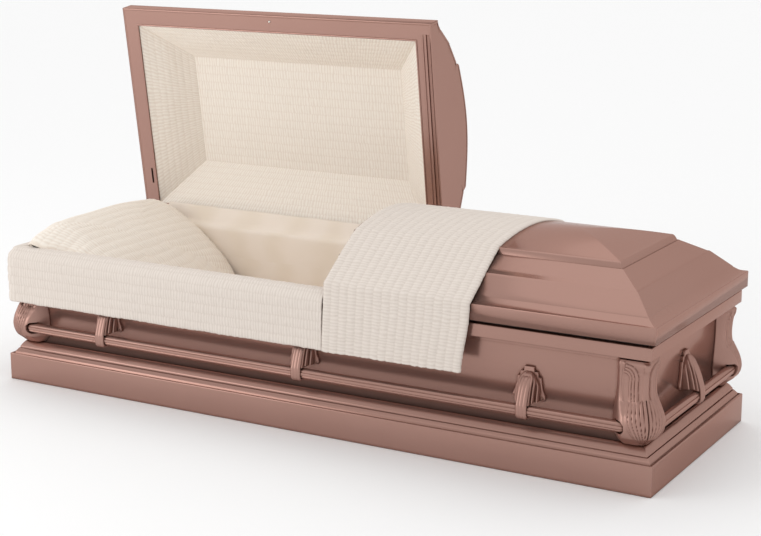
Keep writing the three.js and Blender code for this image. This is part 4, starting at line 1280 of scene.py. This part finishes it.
def mattress():
    low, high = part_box("mattress")
    x0, y0, z0 = (v / MM for v in low)
    x1, y1, z1 = (v / MM for v in high)
    bm = bmesh.new()
    columns, rows = 150, 60

    def place(i, j):
        x, y = mix(x0, x1, i / columns), mix(y0, y1, j / rows)
        edge = min(x - x0, x1 - x, y - y0, y1 - y)
        tuft = math.cos(x / TUFT_SPACING * 2 * math.pi) * math.cos(y / TUFT_SPACING * 2 * math.pi)
        dimple = 5 * max(0, tuft) ** 6 * ease((edge - 20) / 40)
        return x, y, z1 - 2.5 - 12 * (1 - ease(edge / 26)) - dimple

    grid(bm, columns, rows, place, lambda i, j: (i / columns * MATTRESS_CLOTH[0], j / rows * MATTRESS_CLOTH[1]))
    for vert in grow_border(bm):
        vert.co.z = z0 * MM
    close_holes(bm)
    return add_piece("mattress_pad", bm, "casket", PLAIN, ("mattress",))


mattress_piece = mattress()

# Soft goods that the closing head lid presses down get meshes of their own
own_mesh(apron_piece)
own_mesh(pillow_piece)
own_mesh(cover_piece)

# The frame's own solids that still show take the same finishes
for name, solid in nodes.items():
    if solid.hide_render:
        continue
    slot_name = next(s["material_slot"] for s in frame["record"]["subparts"] if s["node"] == name)
    finish = next(material for material, slot in SLOTS.items() if slot == slot_name)
    solid.data.materials.clear()
    solid.data.materials.append(finish)

# Studio: a pale floor that meets the white surround, and soft light from the front left and above
floor_mesh = bpy.data.meshes.new("studio_floor")
bm = bmesh.new()
bmesh.ops.create_grid(bm, x_segments=1, y_segments=1, size=30)
bmesh.ops.translate(bm, verts=bm.verts, vec=(0, 0, -0.0005))
bm.to_mesh(floor_mesh)
bm.free()
floor_paint = new_material("matt_white_floor", Base_Color=linear("#f6f6f6"), Roughness=0.9)[0]
floor_mesh.materials.append(floor_paint)
floor = bpy.data.objects.new("studio_floor", floor_mesh)
bpy.context.scene.collection.objects.link(floor)

world = bpy.data.worlds.new("pale_surround")
bpy.context.scene.world = world
world.use_nodes = True
surround = world.node_tree.nodes["Background"]
surround.inputs["Color"].default_value = linear("#ffffff")
surround.inputs["Strength"].default_value = 0.85


def lamp(name, kind, place, aim, energy, **settings):
    """A lamp that looks from its place at its aim, in metres."""
    light = bpy.data.lights.new(name, kind)
    light.energy = energy
    for setting, value in settings.items():
        setattr(light, setting, value)
    made = bpy.data.objects.new(name, light)
    made.location = place
    made.rotation_mode = "QUATERNION"
    made.rotation_quaternion = (Vector(aim) - Vector(place)).to_track_quat("-Z", "Y")
    bpy.context.scene.collection.objects.link(made)


lamp("high_rear_bank", "SUN", (-0.6, 1.1, 4.0), (0, 0, 0), 0.6, angle=math.radians(85))
bank_size = {"shape": "RECTANGLE", "size": 2.8, "size_y": 2.2}
lamp("front_left_bank", "AREA", (-3.4, -3.6, 1.6), (-0.1, 0, 0.4), 45, **bank_size)

camera = bpy.data.cameras.new("view")
camera.sensor_width = 36
camera.lens = 81.37
camera.clip_end = 100
viewer = bpy.data.objects.new("view", camera)
viewer.location = (2.5160, -4.2922, 1.5716)
YAW, PITCH = 0.5188, -0.2302
forward = Vector((-math.sin(YAW) * math.cos(PITCH), math.cos(YAW) * math.cos(PITCH), math.sin(PITCH)))
viewer.rotation_mode = "QUATERNION"
viewer.rotation_quaternion = forward.to_track_quat("-Z", "Y")
bpy.context.scene.collection.objects.link(viewer)
bpy.context.scene.camera = viewer
bpy.context.scene.view_settings.view_transform = "Standard"
